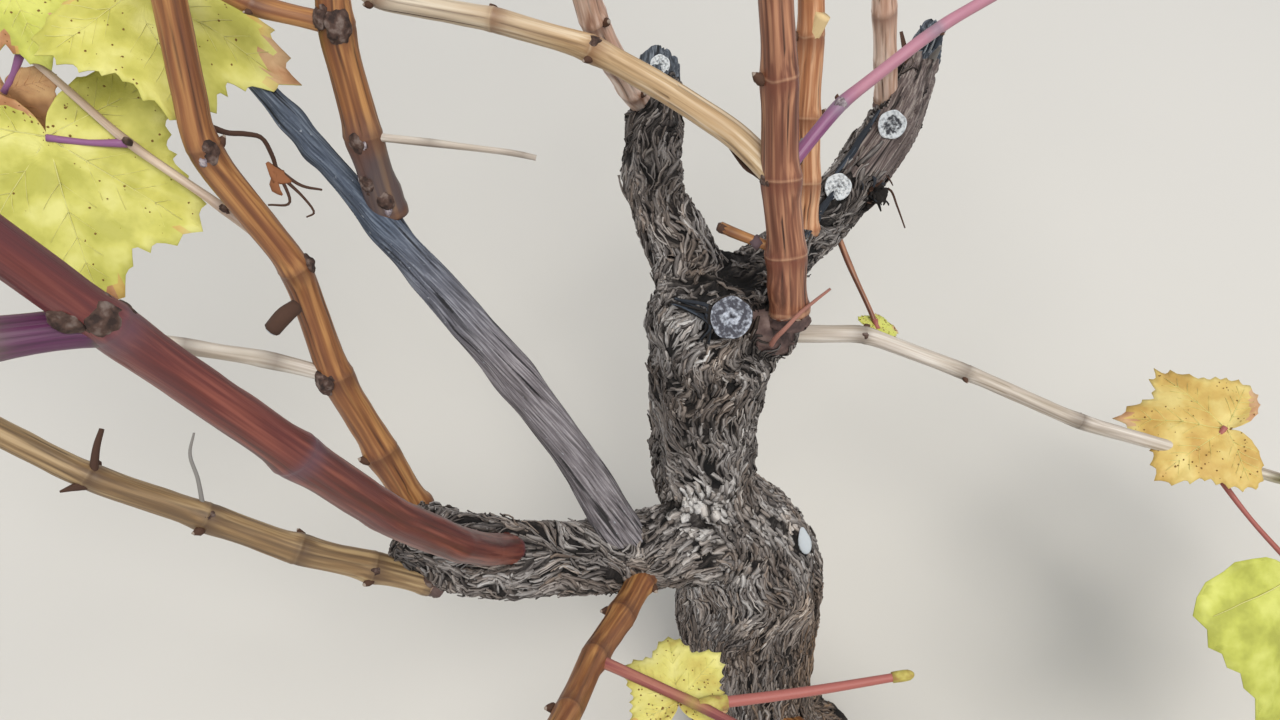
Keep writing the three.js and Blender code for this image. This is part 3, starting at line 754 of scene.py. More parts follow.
# The far half of the right arm has lost its bark on top, and both far ends are slate grey: smooth wood,
# checked along the grain.
ragged = softNoise(places / 5, 16)
onSlate = (limb == armBack) & (along > barkSizes["slateFrom"][armBack] + 8 * ragged)
onSlate |= (limb == armRight) & (along > barkSizes["slateFrom"][armRight] + 6 * ragged)
onBare = (limb == armRight) & (along > barkSizes["bareFrom"] + 5 * ragged)
onBare &= normals @ np.array(barkSizes["bareSide"]) > 0.12 + 0.2 * softNoise(places / 7, 17)
onBare |= onSlate
x, y = radius * np.cos(angle), radius * np.sin(angle)
checks = barkSizes["checkDeep"] * bell(noiseAt(18, x / 2.2, y / 2.2, along / 60), barkSizes["checkWide"])
raised = np.where(onBare, 0.7 - checks + 0.5 * noiseAt(19, x / 1.1, y / 1.1, along / 22), raised)
grain = np.where(onBare[:, None], np.c_[x, y, along], grain)
# Each hollow is dented in, and its bark painted darker towards its middle: painted shade.
for *where, depth in hollows:
    dip = dent(places, *where)
    raised = raised * (1 - 0.5 * dip) - depth * dip
    shade = shade * (1 - 0.85 * dip)
smoothShare = np.clip(sum(dent(places, at, reach) for at, reach in smoothSkin), 0, 1)
raised = raised * (1 - 0.75 * smoothShare)
onYoung = smoothShare > 0.42 + 0.16 * softNoise(places / 2.5, 20)
nearGround = np.clip(places[:, 2] / 6, 0, 1)
places = places + normals * (raised * nearGround)[:, None]
places[:, 2] = np.maximum(places[:, 2], 0)
movePoints(body, places)
lighter, warm = barkTone(places)
for label, values in (("grain", grain), ("relief", np.clip(shade + lighter, 0, 1)), ("warm", warm)):
    storeValues(body, label, values)
for material in (strippedWood, slateWood, youngBark):
    body.data.materials.append(material)
cornersOf = [list(face.vertices) for face in body.data.polygons]
woodOf = [3 if onYoung[corners[0]] else int(onBare[corners].all()) + int(onSlate[corners].all())
          for corners in cornersOf]
body.data.polygons.foreach_set("material_index", np.array(woodOf, dtype=np.int32))
smoothAll(body)
body.data.update()
place(body, "bark", "trunk", "arm_back", "arm_right", "arm_left")

# Loose bark lies over it in narrow strips that follow the same swirls, with an end or an edge lifted.
flakeSizes = {
    "count": 12500, "countWhenQuick": 3000, "seed": 5, "step": 2.3, "steps": (4, 9), "clearOfCuts": 0.6,
    "clearOfScar": 4.4, "long": (9, 20), "longerLowDown": 1.7, "wide": (1.2, 2.5), "threads": 0.3,
    "threadWide": (0.6, 1.0), "lowBelow": 98, "startsAbove": 5, "armEnds": 176, "hiddenFrom": 0.45,
    "tightest": 0.7, "footBelow": 78, "bulgeBelow": 165, "stuck": 0.15, "lifted": 0.9, "liftedMost": 2.4,
    "liftedMostShare": 0.08,
}
# The white scar of a lost shoot.
scar = {"at": [11.5, 66.8, 132.6], "high": 6.8, "wide": 3.6, "lifted": 2.2}
# Places where the bark lies in broader scales: place, reach and how broad.
scaly = [([-36, 76, 134], 24, 1.7), ([-2, 68, 124], 22, 1.5), ([-38, 72, 160], 14, 0.9),
         ([-34, 110, 190], 16, 0.5)]
cuts = {
    "sawn_head": {"at": [-32.5, 107.5, 269.5], "heading": [-96, 52], "radius": 8.6, "deep": 13,
                  "end": sawnDark},
    "sawn_back": {"at": [-59.4, 255.6, 267.9], "heading": [-92, 44], "radius": 4.9, "deep": 13,
                  "end": sawnWhite},
    "sawn_arm_low": {"at": [24.8, 201.6, 241.6], "heading": [-108, 48], "radius": 6.4, "deep": 13,
                     "end": sawnWhite},
    "sawn_arm_high": {"at": [50.4, 226.5, 257.4], "heading": [-108, 44], "radius": 6.8, "deep": 14,
                      "end": sawnRing},
}


# A thin strip with a ridge along its middle, widths wide, cupped upwards or downwards.
def ribbonPart(points, across, widths, thick, material, cup=0.0):
    ways = np.gradient(points, axis=0)
    ways /= lengths(ways)[:, None]
    across = across - ways * (across * ways).sum(axis=1)[:, None]
    across /= lengths(across)[:, None]
    over = np.cross(ways, across)
    half = widths[:, None] / 2
    edge = over * cup * widths[:, None]
    rim = [points + across * half + edge, points + over * thick, points - across * half + edge,
           points - over * thick * 0.2]
    last = 4 * len(points) - 4
    faces = [[row + i, row + (i + 1) % 4, row + (i + 1) % 4 + 4, row + i + 4]
             for row in range(0, last, 4) for i in range(4)]
    return {"points": np.stack(rim, axis=1).reshape(-1, 3), "material": material,
            "faces": faces + [[3, 2, 1, 0], [last, last + 1, last + 2, last + 3]]}


skinTree = BVHTree.FromPolygons([Vector(p) for p in places], [p.vertices[:] for p in body.data.polygons])
deal = np.random.default_rng(flakeSizes["seed"])
strips = {"foot": [], "bulge": [], "head": [], "arms": []}
broad = sum(wide * dent(places, at, reach) for at, reach, wide in scaly)
lowDown = (limb == trunk) & (places[:, 2] < flakeSizes["lowBelow"])
swirls = softNoise(places / 17, 21) * np.where(lowDown, 0.3, 1.4)
swirls += softNoise(places / 7.5, 22) * np.where(lowDown, 0.16, 0.7)
swirls *= 1 - 0.6 * np.clip(broad, 0, 1)
patches = 0.14 * softNoise(places / 4.5, 23) + 0.16 * softNoise(places / 14, 24)
# Strips keep clear of the dark hollows, of the smooth skin beside the cut, and of the pale scar.
hidden = sum(dent(places, *where) for *where, _ in hollows) + 1.2 * smoothShare
keepClear = [(np.array(cut["at"]), cut["radius"] + flakeSizes["clearOfCuts"]) for cut in cuts.values()]
keepClear.append((np.array(scar["at"]), flakeSizes["clearOfScar"]))
cornerOf = [p.vertices[0] for p in body.data.polygons]
wanted = flakeSizes["count"]
for start in deal.choice(len(places), wanted, replace=False):
    spot = places[start]
    pastEnd = limb[start] == armRight and along[start] > flakeSizes["armEnds"]
    tooLow, isHidden = spot[2] < flakeSizes["startsAbove"], hidden[start] > flakeSizes["hiddenFrom"]
    if tooLow or onBare[start] or pastEnd or isHidden:
        continue
    isThread = deal.uniform() < flakeSizes["threads"] * (1 - broad[start])
    wide = 1 + broad[start]
    longer = flakeSizes["longerLowDown"] if lowDown[start] else 1.0
    long = deal.uniform(*flakeSizes["long"]) * longer / wide ** 0.7
    width = deal.uniform(*flakeSizes["threadWide"]) if isThread else deal.uniform(*flakeSizes["wide"]) * wide
    steps = int(np.clip(int(long / flakeSizes["step"]), *flakeSizes["steps"]))
    offTurn, wave = deal.normal(0, 0.15), deal.normal(0, 0.2)
    points, across, at = [], [], Vector(spot)
    for i in range(steps):
        found, normal, index, _ = skinTree.find_nearest(at)
        corner = cornerOf[index]
        turn = swirls[corner] + offTurn + wave * math.sin(i * 1.4)
        way = Matrix.Rotation(turn, 3, normal) @ squareTo(normal, Vector(ways[corner]))
        points.append(found + normal * flakeSizes["stuck"])
        across.append(normal.cross(way))
        at = found + way * (long / steps)
    points, across = rowsOf(points), rowsOf(across)
    tooClose = any(lengths(points - at).min() < reach for at, reach in keepClear)
    if tooClose or lengths(np.gradient(points, axis=0)).min() < flakeSizes["tightest"]:
        continue
    share = np.linspace(0, 1, steps)
    raisedEnd = flakeSizes["liftedMost" if deal.uniform() < flakeSizes["liftedMostShare"] else "lifted"]
    lift = deal.uniform(0, 1) ** 1.5 * raisedEnd * share ** 2
    lift += deal.uniform(0, 1) ** 3 * 0.8 * (1 - share) ** 3
    lifts = np.cross(np.gradient(points, axis=0), across)
    lifts /= lengths(lifts)[:, None] + 1e-9
    points = points + lifts * lift[:, None]
    points[:, 2] = np.maximum(points[:, 2], 0.5)
    ragged = np.clip(1.35 * np.sin(np.pi * (0.2 + 0.62 * share)) + deal.normal(0, 0.12, steps), 0.4, 1.2)
    flake = ribbonPart(points, across, width * ragged, 0.34 + 0.1 * width, 0, deal.uniform(-0.12, 0.12))
    if not np.isfinite(flake["points"]).all():
        continue
    light, brown = barkTone(spot[None, :])
    # A strip is painted darker the nearer it lies to the hollows and the smooth skin: painted shade.
    tone = 0.42 + patches[start] + deal.normal(0, 0.085) + light[0] + 0.12 * share - 0.5 * hidden[start]
    # Along each strip the ridge is painted lighter and the edges and underside darker: painted highlight and
    # painted shade.
    flake["relief"] = np.clip(np.repeat(tone, 4) + np.tile([-0.1, 0.12, -0.1, -0.25], steps), 0, 1)
    flake["warm"] = np.full(4 * steps, np.clip(brown[0] + deal.normal(0, 0.12), 0, 1))
    flake["grain"] = np.c_[np.tile([1, 0, -1, 0], steps) * width / 2, np.full(4 * steps, deal.uniform(0, 50)),
                           np.repeat(share * long, 4) + deal.uniform(0, 90)]
    onFoot, onBulge = spot[2] < flakeSizes["footBelow"], spot[2] < flakeSizes["bulgeBelow"]
    where = "arms" if limb[start] >= armBack else "foot" if onFoot else "bulge" if onBulge else "head"
    strips[where].append(flake)
for where, parts in strips.items():
    place(makePiece("bark_strips_" + where, parts, [looseBark]), "bark")

# The dead spur: bark gone, grey wood with checks and old knots.
spurVoxel = 0.8
spurKnots = [
    # place, reach, height
    ([-162, 117, 318], 9, 2.4), ([-186, 132, 338], 5, 1.6), ([-192, 141, 345], 6, 1.8),
    ([-150, 106, 300], 5, 1.4), ([-118, 84, 262], 8, 1.4), ([-134, 92, 289], 6, 1.2),
    ([-212, 155, 365], 3.5, 0.9),
]
spur = makePiece("dead_spur", [woodPart(woodRuns["spur_dead"])], [deadWood])
remesh(spur, spurVoxel)
spots, normals = readPoints(spur) / mm, readPoints(spur, "normal")
_, along, angle, radius, _ = followWood(spots, ["spur_dead"])
turned = angle + along / 90
x, y = radius * np.cos(turned), radius * np.sin(turned)
raised = 1.1 * np.abs(noiseAt(31, x / 2.4, y / 2.4, along / 55)) ** 0.7
raised += 0.7 * noiseAt(32, x / 6, y / 6, along / 30)
raised += sum(high * dent(spots, at, reach) for at, reach, high in spurKnots) - 0.5
movePoints(spur, spots + normals * raised[:, None])
storeValues(spur, "grain", np.c_[x, y, along])
smoothAll(spur)
spur.data.update()
place(spur, "dead_wood", "spur_dead")


# Canes

caneSizes = {
    "step": 3.4, "topStep": 4.5, "fineStep": 1.5, "ribPitch": 2.5, "grooveWidth": 0.34, "grooveDepth": 0.3,
    "swell": 0.1, "nodeRows": (-6, -4, -2.4, -1.2, -0.6, 0, 0.45, 0.9, 1.35, 2, 3.2, 4.8),
}


# Points, radii, distances past the nearest node and joint numbers of a cane from one distance along it to
# another, with more rows at its nodes.
def caneRun(name, first, last, step):
    cane, joints = limbs[name], grown[name]
    starts = np.array([joint["along"] for joint in joints])
    spots = np.linspace(first, last, max(4, int((last - first) / step)) + 1)
    if step == caneSizes["step"]:
        near = np.add.outer(starts, caneSizes["nodeRows"]).reshape(-1)
        far = np.abs(np.subtract.outer(spots, starts)).min(axis=1) > 5.5
        far[0] = far[-1] = True
        spots = np.sort(np.concatenate([spots[far], near[(near > first + 0.4) & (near < last - 0.4)]]))
        spots = spots[np.append(True, np.diff(spots) > 0.25)]
    end = starts[-1] + joints[-1]["length"]
    fine = np.arange(0, end + caneSizes["fineStep"], caneSizes["fineStep"])
    index = np.clip(np.searchsorted(starts, fine, side="right") - 1, 0, len(joints) - 1)
    line = rowsOf(joint["at"] for joint in joints)[index]
    line += rowsOf(joint["way"] for joint in joints)[index] * (fine - starts[index])[:, None]
    soft = line.copy()
    for shift in (1, 2, 3):
        padded = np.pad(soft, ((shift, shift), (0, 0)), mode="edge")
        soft = (padded[:-2 * shift] + soft + padded[2 * shift:]) / 3
    soft[0], soft[-1] = line[0], line[-1]
    points = np.stack([np.interp(spots, fine, soft[:, k]) for k in range(3)], axis=1)
    share = np.clip(spots / cane["long"], 0, 1)
    radii = 0.5 * lerp(cane["base"], cane["tip"], share) * cane.get("slim", 1)
    away = (spots[:, None] - np.append(starts, end)[None, :])
    away[:, list(cane.get("plain", ()))] = 99   # never the nearest
    nearest = away[np.arange(len(spots)), np.abs(away).argmin(axis=1)]
    return spots, points, radii, nearest, np.searchsorted(starts, spots, side="right") - 1


def canePart(name, first, last, around, step, material):
    cane = limbs[name]
    spots, points, radii, nearest, joint = caneRun(name, first, last, step)
    sides, overs = frameRun(points, list(grown[name][0]["side"]))
    angles = anglesRound(around)
    reach, groove = np.zeros((len(points), around)), np.zeros((len(points), around))
    seed = cane.get("seed", 7)
    for row, past in enumerate(nearest):
        # The ribs run on through a plain node.
        ribbedFrom = max(k for k in range(joint[row] + 1) if k not in cane.get("plain", ()))
        deal = np.random.default_rng(seed * 100 + ribbedFrom)
        ribs = max(6, int(round(2 * np.pi * radii[row] / caneSizes["ribPitch"])))
        edges = (np.arange(ribs) + deal.uniform(-0.4, 0.4, ribs)) * 2 * np.pi / ribs
        depths = deal.uniform(0.1, 1.0, ribs) ** 1.5
        fades = noiseAt(33, np.arange(ribs) * 7.3, spots[row] / 17, seed * 0.7)
        depths *= np.clip(0.75 + 1.1 * fades, 0, 1.25)
        gap = (angles[:, None] + spots[row] / 500 - edges[None, :] + np.pi) % (2 * np.pi) - np.pi
        fade = 1 - 0.85 * bell(past, 4)
        groove[row] = (bell(gap * radii[row], caneSizes["grooveWidth"]) * depths[None, :]).max(axis=1) * fade
        budSide = 1 if joint[row] % 2 == (past >= 0) else -1
        swell = caneSizes["swell"] * bell(past, 5.5 if past > 0 else 8)
        swell = swell * (1 + 0.75 * budSide * np.cos(angles))
        oval = 1 + 0.045 * np.cos(2 * (angles + spots[row] / 75)) * (1 + bell(past, 6))
        rim = 0.1 * bell(past - 0.9, 0.45) - 0.12 * bell(past + 0.6, 0.6)
        reach[row] = (radii[row] * (1 + swell) * oval + rim * min(1, radii[row] / 5)
                      - caneSizes["grooveDepth"] * groove[row] * min(1, radii[row] / 4))
    across, over = np.tile(np.cos(angles) * 1.3, len(spots)), np.tile(np.sin(angles) * 1.3, len(spots))
    uneven = noiseAt(seed % 90 + 35, np.repeat(spots / 7, around), across, over)
    reach += 0.035 * radii[:, None] * uneven.reshape(reach.shape)
    for along, turn, long, high in cane.get("humps", []):
        facing = np.maximum(np.cos(angles - math.radians(turn)), 0) ** 2
        reach += high * bell(spots - along, long)[:, None] * facing
    skin, faces = skinRun(points, sides, overs, reach)
    redness = 0.8 * np.where(nearest < 0, bell(nearest, 5), bell(nearest, 2.2))
    wander = 0.7 * noiseAt(36, np.repeat(joint * 3.0, around), across, over)
    thread = cane.get("thread", 0.15) * bell(np.repeat(nearest, around) - 0.9 - wander, 0.45)
    return {"points": skin, "faces": faces, "grain": grainOf(reach, spots), "groove": groove.reshape(-1),
            "relief": thread, "nearNode": np.repeat(redness, around), "material": material}


for name, cane in canes.items():
    top = grown[name][cane["bare"]]["along"]
    limbPart = canePart(name, 0, top, 64 if cane["base"] > 7 else 40, caneSizes["step"], 0)
    piece = makePiece(name + "_wood", [limbPart], [caneWood[looks[name]]])
    place(piece, cane.get("slot", "ripe_cane"), name)

topParts = []
for name, limbSizes in limbs.items():
    joints = grown[name]
    first = joints[limbSizes["bare"]]["along"] if "bare" in limbSizes else 0
    last = joints[-1]["along"] + 0.14 * joints[-1]["length"]
    topParts.append(canePart(name, first, last, 24, caneSizes["topStep"], looks[name]))


# Leaves

leafSizes = {
    "half": [[0, 1], [26, 0.72], [50, 0.92], [82, 0.64], [124, 0.76], [180, 0.12]],
    "notch": 0.12, "fall": 0.16, "arch": 0.2, "sink": 3, "thick": 0.36, "specks": 90,
    "veins": [0, 50, -50, 118, -118], "veinShares": (0.28, 0.46, 0.62, 0.78), "spread": 42,
    # rim points, rings from the middle to the rim, and teeth
    "near": (144, [0.12, 0.28, 0.45, 0.62, 0.78, 0.9, 1.0], [0.045, 0.0, -0.03, -0.012]),
    "far": (54, [0.3, 0.6, 0.86, 1.0], [0.035, -0.03]),
}
leafTints = [
    *(makeMottled("leaf " + name, tones) for name, tones in {
        "yellow green": "#B4B152 #C8C464 #D8D480", "yellow": "#C3B25C #D1C970 #DFD88C",
        "lime": "#A6A848 #BBBE56 #CDCF6C", "ochre": "#BC9850 #CBAE62 #D8C47C",
        "rust edge": "#A6744C #C0926A #D2AE84", "dry brown": "#86603F #A87E56 #C09A6C"}.items()),
    *(makePlain("leaf " + name, colour, roughness, grit, ior=1.42) for name, colour, roughness, grit in (
        ("vein", "#D3CF86", 0.55, 2), ("speck", "#7A5A28", 0.7, 2), ("stalk purple", "#8C5C86", 0.5, 1.5),
        ("stalk pink", "#A25F58", 0.5, 1.5))),
]
yellowGreen, yellow, lime, ochre, rustEdge, dryBrown, veinTint, speckTint, purpleStalk, pinkStalk = range(10)


def leafReach(degrees):
    rows = leafSizes["half"]
    degrees = abs((degrees + 180) % 360 - 180)
    for (low, first), (high, second) in zip(rows, rows[1:]):
        if degrees <= high:
            share = (degrees - low) / (high - low)
            soft = share * share * (3 - 2 * share)
            return lerp(first, second, lerp(share, soft, 0.6 if high < 180 else 0.0))


# The blade's height over its own plane, in shares of its size: fall, arch, pleats at the veins, crumple.
def leafHeight(x, y, seed):
    height = -(leafSizes["fall"] * x * x + leafSizes["arch"] * y * y)
    fromApex = x + leafSizes["notch"]
    pleat = np.zeros_like(x)
    for vein in np.radians(leafSizes["veins"]):
        ahead = fromApex * math.cos(vein) + y * math.sin(vein)
        pleat = np.maximum(pleat, bell(-fromApex * math.sin(vein) + y * math.cos(vein), 0.06) * (ahead > 0))
    height += -0.03 * pleat + 0.045 * noiseAt(41, x * 2.6, y * 2.6, seed * 3.7)
    height += 0.018 * noiseAt(42, x * 2.6 * 3.1, y * 2.6 * 3.1, seed * 3.7 * 3.1)
    return height + 0.16 * np.hypot(x, y) ** 4 * noiseAt(43, x * 1.4, y * 1.4, seed * 1.9)


# Veins as rows of foot, end and width: five from the apex, and on a near leaf the side veins that leave them.
def leafVeins(isNear):
    apex = np.array([-leafSizes["notch"] * 0.8, 0.0])
    for vein in leafSizes["veins"]:
        turn = math.radians(vein)
        end = 0.88 * leafReach(vein) * np.array([math.cos(turn), math.sin(turn)])
        yield apex, end, 0.0105
        for share in leafSizes["veinShares"] if isNear else ():
            for side in (-1, 1):
                foot = lerp(apex, end, share)
                away = math.radians(vein + side * leafSizes["spread"])
                long = 0.3 * (1 - 0.6 * share)
                yield foot, foot + long * np.array([math.cos(away), math.sin(away)]), 0.005


def leafPart(size, matrix, tint, seed, group):
    isNear, isDry = group == "near", tint == dryBrown
    deal = np.random.default_rng(1000 + seed)
    around, levels, tooth = leafSizes[group]
    degrees = np.arange(around) * 360 / around
    outline = np.array([leafReach(d) for d in degrees])
    teeth = np.array([tooth[i % len(tooth)] for i in range(around)]) * deal.uniform(0.5, 1.5, around)
    outline = outline * (1 + teeth * np.clip(outline * 1.4, 0, 1))
    turn = np.radians(degrees)
    rings = [np.c_[level * outline * np.cos(turn), level * outline * np.sin(turn)] for level in levels]
    flat = np.concatenate([np.zeros((1, 2))] + rings)
    height = leafHeight(flat[:, 0], flat[:, 1], seed)
    half = leafSizes["thick"] / size / 2
    sheet = np.concatenate([np.c_[flat, height + half], np.c_[flat, height - half]]) * size
    rows, count = len(levels), len(flat)
    patch = noiseAt(44, np.cos(turn) * 2.2, np.sin(turn) * 2.2, seed * 2.3)
    faces, tints = [], []
    for i in range(around):
        after = (i + 1) % around
        faces.append([0, 1 + i, 1 + after])
        tints.append(tint)
        edgeTint = rustEdge if patch[i] > 0.46 else ochre if patch[i] > 0.3 else tint
        for row in range(1, rows):
            a, b = 1 + (row - 1) * around, 1 + row * around
            faces.append([a + i, b + i, b + after, a + after])
            isRim = row >= rows - (2 if isNear and patch[i] > 0.6 else 1)
            tints.append(edgeTint if isRim and not isDry else tint)
    under = [[corner + count for corner in face[::-1]] for face in faces]
    last = 1 + (rows - 1) * around
    wall = [[last + i, last + i + count, last + (i + 1) % around + count, last + (i + 1) % around]
            for i in range(around)]
    parts = [{"points": sheet, "faces": faces + under + wall, "material": tints + tints + [tint] * around}]
    for foot, end, wide in leafVeins(isNear):
        line = foot[None, :] + (end - foot)[None, :] * np.linspace(0, 1, 7 if wide > 0.01 else 4)[:, None]
        inside = [np.hypot(*p) < 0.97 * leafReach(math.degrees(math.atan2(p[1], p[0]))) for p in line]
        if sum(inside) < 3:
            continue
        line = line[inside]
        widths = size * wide * np.linspace(1, 0.35, len(line))
        top = leafHeight(line[:, 0], line[:, 1], seed) * size + leafSizes["thick"] * 0.45
        across = np.tile(np.cross([0, 0, 1], np.append(end - foot, 0)), (len(line), 1))
        tinted = rustEdge if isDry else veinTint
        parts.append(ribbonPart(np.c_[line * size, top], across, widths, 0.3, tinted))
    for _ in range(leafSizes["specks"] if isNear and not isDry else 0):
        angle, level = deal.uniform(0, 360), math.sqrt(deal.uniform(0.02, 0.9))
        reach = level * leafReach(angle)
        x, y = reach * math.cos(math.radians(angle)), reach * math.sin(math.radians(angle))
        wide = deal.uniform(0.36, 0.72) ** 2
        ring = np.array([[x + wide * deal.uniform(0.7, 1.2) / size * math.cos(a),
                          y + wide * deal.uniform(0.7, 1.2) / size * math.sin(a)]
                         for a in np.arange(5) * 1.2566])
        top = leafHeight(ring[:, 0], ring[:, 1], seed)
        high = np.c_[ring * size, top * size + leafSizes["thick"] * 0.5 + 0.12]
        walls = [[i, i + 5, (i + 1) % 5 + 5, (i + 1) % 5] for i in range(5)]
        parts.append({"points": np.concatenate([high, high - [0, 0, 0.4]]), "material": speckTint,
                      "faces": [[0, 1, 2, 3, 4], [9, 8, 7, 6, 5]] + walls})
    turned = np.array(matrix)
    for part in parts:
        part["points"] = part["points"] @ turned[:3, :3].T + turned[:3, 3]
    return parts


leafParts, stalkParts, shootParts = {"near": [], "far": []}, [], []
budSpots = []   # place, way out, way along, size


# A leaf on its stalk, as the plant's rule sets it. size 0 leaves the stalk bare.
def growLeaf(at, stalkWay, stalk, size, bladeAzimuth, droop, seed, group="far", tint=None,
             stalkTint=pinkStalk):
    end = at + stalkWay * stalk
    if size > 0:
        axis = heading(bladeAzimuth, -droop)
        across = up.cross(axis).normalized()
        matrix = Matrix((axis, across, axis.cross(across))).transposed().to_4x4()
        matrix.translation = end + axis * (leafSizes["notch"] * size - leafSizes["sink"])
        if tint is None:
            tint = [yellowGreen, yellow, yellowGreen, lime, ochre, yellow, yellowGreen, dryBrown][seed % 8]
        leafParts[group] += leafPart(size, matrix, tint, seed, group)
        end = end - axis * leafSizes["sink"] * 0.4
    middle = lerp(at, end, 0.5) - up * 0.04 * stalk
    radii = [1.6, 1.05, 1.25] if size > 0 else [2.3, 2.0, 1.6]
    stalkParts.append(rodPart([at, middle, end], radii, 10, stalkTint, 4))


def twigRun(at, way, towards, long, steps):
    points, spot = [], at.copy()
    for i in range(steps + 1):
        now = way.lerp(towards, i / steps).normalized()
        points.append(spot.copy())
        spot = spot + now * (long / steps)
    return points, now


# Past its bare part each node of a cane bears a leaf, a shoot with a leaf, or a bud, as its seed deals them.
def dealShoots(name, cane):
    random = makeRandom(cane["seed"])
    for i, joint in enumerate(grown[name][cane["bare"] + 1:]):
        kind = random()
        spin = math.radians(lerp(-40, 40, random()))
        size = lerp(46, 79, random())
        droop = lerp(10, 60, random())
        turn = lerp(-40, 40, random())
        across = squareTo(joint["way"], joint["side"]) * (1 if i % 2 else -1)
        across = Matrix.Rotation(spin, 3, joint["way"]) @ across
        way = (joint["way"] * 0.7 + across).normalized()
        azimuth = math.degrees(math.atan2(way.y, way.x)) + turn
        seed = cane["seed"] * 7 + i
        if kind < 0.4:
            growLeaf(joint["at"], way, 0.8 * size, size, azimuth, droop, seed)
        elif kind < 0.7:
            rising = way.lerp(up, 0.5).normalized()
            points, last = twigRun(joint["at"], way, rising, size * (1 + random()), 3)
            shootParts.append(rodPart(points, [2.1, 1.9, 1.6, 1.4], 10, looks[name], 5))
            growLeaf(points[-1] - last * 2, last, 0.35 * size, 0.7 * size, azimuth, droop, seed)
            budSpots.extend((point, across, last, 0.6) for point in points[1:3])
        else:
            budSpots.append((joint["at"] + across * 2.5, across, joint["way"], 0.8))


for name, limbSizes in limbs.items():
    for k, (node, azimuth, rise, *leaf) in enumerate(limbSizes.get("leaves", [])):
        growLeaf(grown[name][node]["at"], heading(azimuth, rise), *leaf, limbSizes["leafSeed"] + k, "near",
                 limbSizes["tints"][k], purpleStalk if name == "spray_left" else pinkStalk)
    if name in canes:
        dealShoots(name, limbSizes)

tops = [name + "_top" for name in canes]
place(makePiece("top_wood", topParts + shootParts, caneWood), "foliage", *tops, *sprays)
place(makePiece("leaf_stalks", stalkParts, leafTints), "foliage")
for group, parts in leafParts.items():
    place(makePiece("leaves_" + group, parts, leafTints), "foliage")


# Buds, dark knots at the nodes, and the lips of bark at the canes' feet

def editMode(isOn):
    bpy.ops.object.mode_set(mode="EDIT" if isOn else "OBJECT")


# Picks the corners or faces that pass a test, and leaves the piece in edit mode.
def pick(piece, kind, test):
    editMode(True)
    bpy.ops.mesh.select_all(action="DESELECT")
    editMode(False)
    for thing in getattr(piece.data, kind):
        thing.select = test(thing)
    editMode(True)


# The points and faces of a shape that was modelled for them alone. The faces of a new sphere come in another
# order each run, so they are sorted.
def takeShape(shape):
    taken = rowsOf(v.co for v in shape.data.vertices), sorted(list(p.vertices) for p in shape.data.polygons)
    bpy.data.objects.remove(shape, do_unlink=True)
    return taken


budSizes = {"long": 4.2, "wide": 3.4, "drawnIn": 0.62, "lean": 0.12, "drawnOut": 0.45}
budTints = [makePlain("bud scale", "#4E3426", 0.8, 0.8), makePlain("bud wool", "#9C8E82", 0.95, 0.5, 0.0003),
            makeMottled("old node crust", "#30231F #4E3A32 #75665F", 3.0, 0.85, 0.0003),
            makeMottled("woolly old bud", "#5E5256 #857A80 #ADA4A6", 1.4, 0.92, 0.0003)]
budScale, budWool, nodeCrust, woollyCrust = range(4)
deselectAll()
bpy.ops.mesh.primitive_uv_sphere_add(segments=10, ring_count=8, radius=1, location=(0, 0, 0))
pick(bpy.context.active_object, "vertices", lambda vertex: vertex.co.z > 0.55)
bpy.ops.transform.resize(value=(budSizes["drawnIn"], budSizes["drawnIn"], 1.0))
bpy.ops.transform.translate(value=(budSizes["lean"], 0, budSizes["drawnOut"]))
editMode(False)
budPoints, budFaces = takeShape(bpy.context.active_object)

taken = {limb["on"] for limb in limbs.values() if "on" in limb}
for name, cane in canes.items():
    for k, joint in enumerate(grown[name][1:cane["bare"] + 1], 1):
        out = squareTo(joint["way"], joint["side"]) * (1 if k % 2 else -1)
        if (name, k) not in taken and k not in cane.get("plain", ()):
            budAt = joint["at"] + out * joint["radius"] * 1.08
            budSpots.append((budAt, out, joint["way"], joint["radius"] / 5))
budParts = []
budHalf = np.array([budSizes["wide"], budSizes["wide"], budSizes["long"]]) / 2
for k, (at, out, way, size) in enumerate(budSpots):
    lean = (way * 0.75 + out * 0.6).normalized()
    side = lean.cross(out).normalized()
    matrix = np.array(Matrix((side.cross(lean), side, lean)).transposed())
    shape = budPoints * budHalf * size * (1 + 0.12 * softNoise(budPoints * 3 + k, 51))[:, None]
    materials = [budWool if budPoints[face, 2].mean() > 0.9 else budScale for face in budFaces]
    budParts.append({"points": shape @ matrix.T + np.array(at + lean * size * 0.8), "faces": budFaces,
                     "material": materials})
# Nodes that show a dark crusted knot: node, width, degrees round from its upper side, and how far past it.
knots = {
    "cane_left": [(4, 9, 55, 0), (3, 8, 70, 0), (2, 11, -35, 0), (0, 6, 10, 2)],
    "cane_spur": [(0, 8, 20, 8), (0, 7, -30, 16), (1, 8, -20, 0), (2, 12, 40, 0), (2, 8, -40, 2)],
    "cane_crossing": [(3, 7, 20, 0)], "cane_near": [(5, 9, 40, 4), (5, 8, -30, 9), (5, 7, 100, 0)],
    "cane_low": [(3, 6, 40, 0), (1, 6, 0, 0), (0, 7, 20, 2)], "cane_arm": [(1, 6, 60, 0)],
    "cane_back": [(1, 6, 50, 0)], "cane_head": [(2, 6, -80, 0)],
    "spray_left": [(1, 3.4, 0, 0), (2, 4, 30, 0)], "cane_pale": [(1, 4, 10, 0)],
    "shoot_purple": [(1, 5, 0, 0)],
}
deselectAll()
bpy.ops.mesh.primitive_ico_sphere_add(subdivisions=4, radius=1, location=(0, 0, 0))
knotPoints, knotFaces = takeShape(bpy.context.active_object)


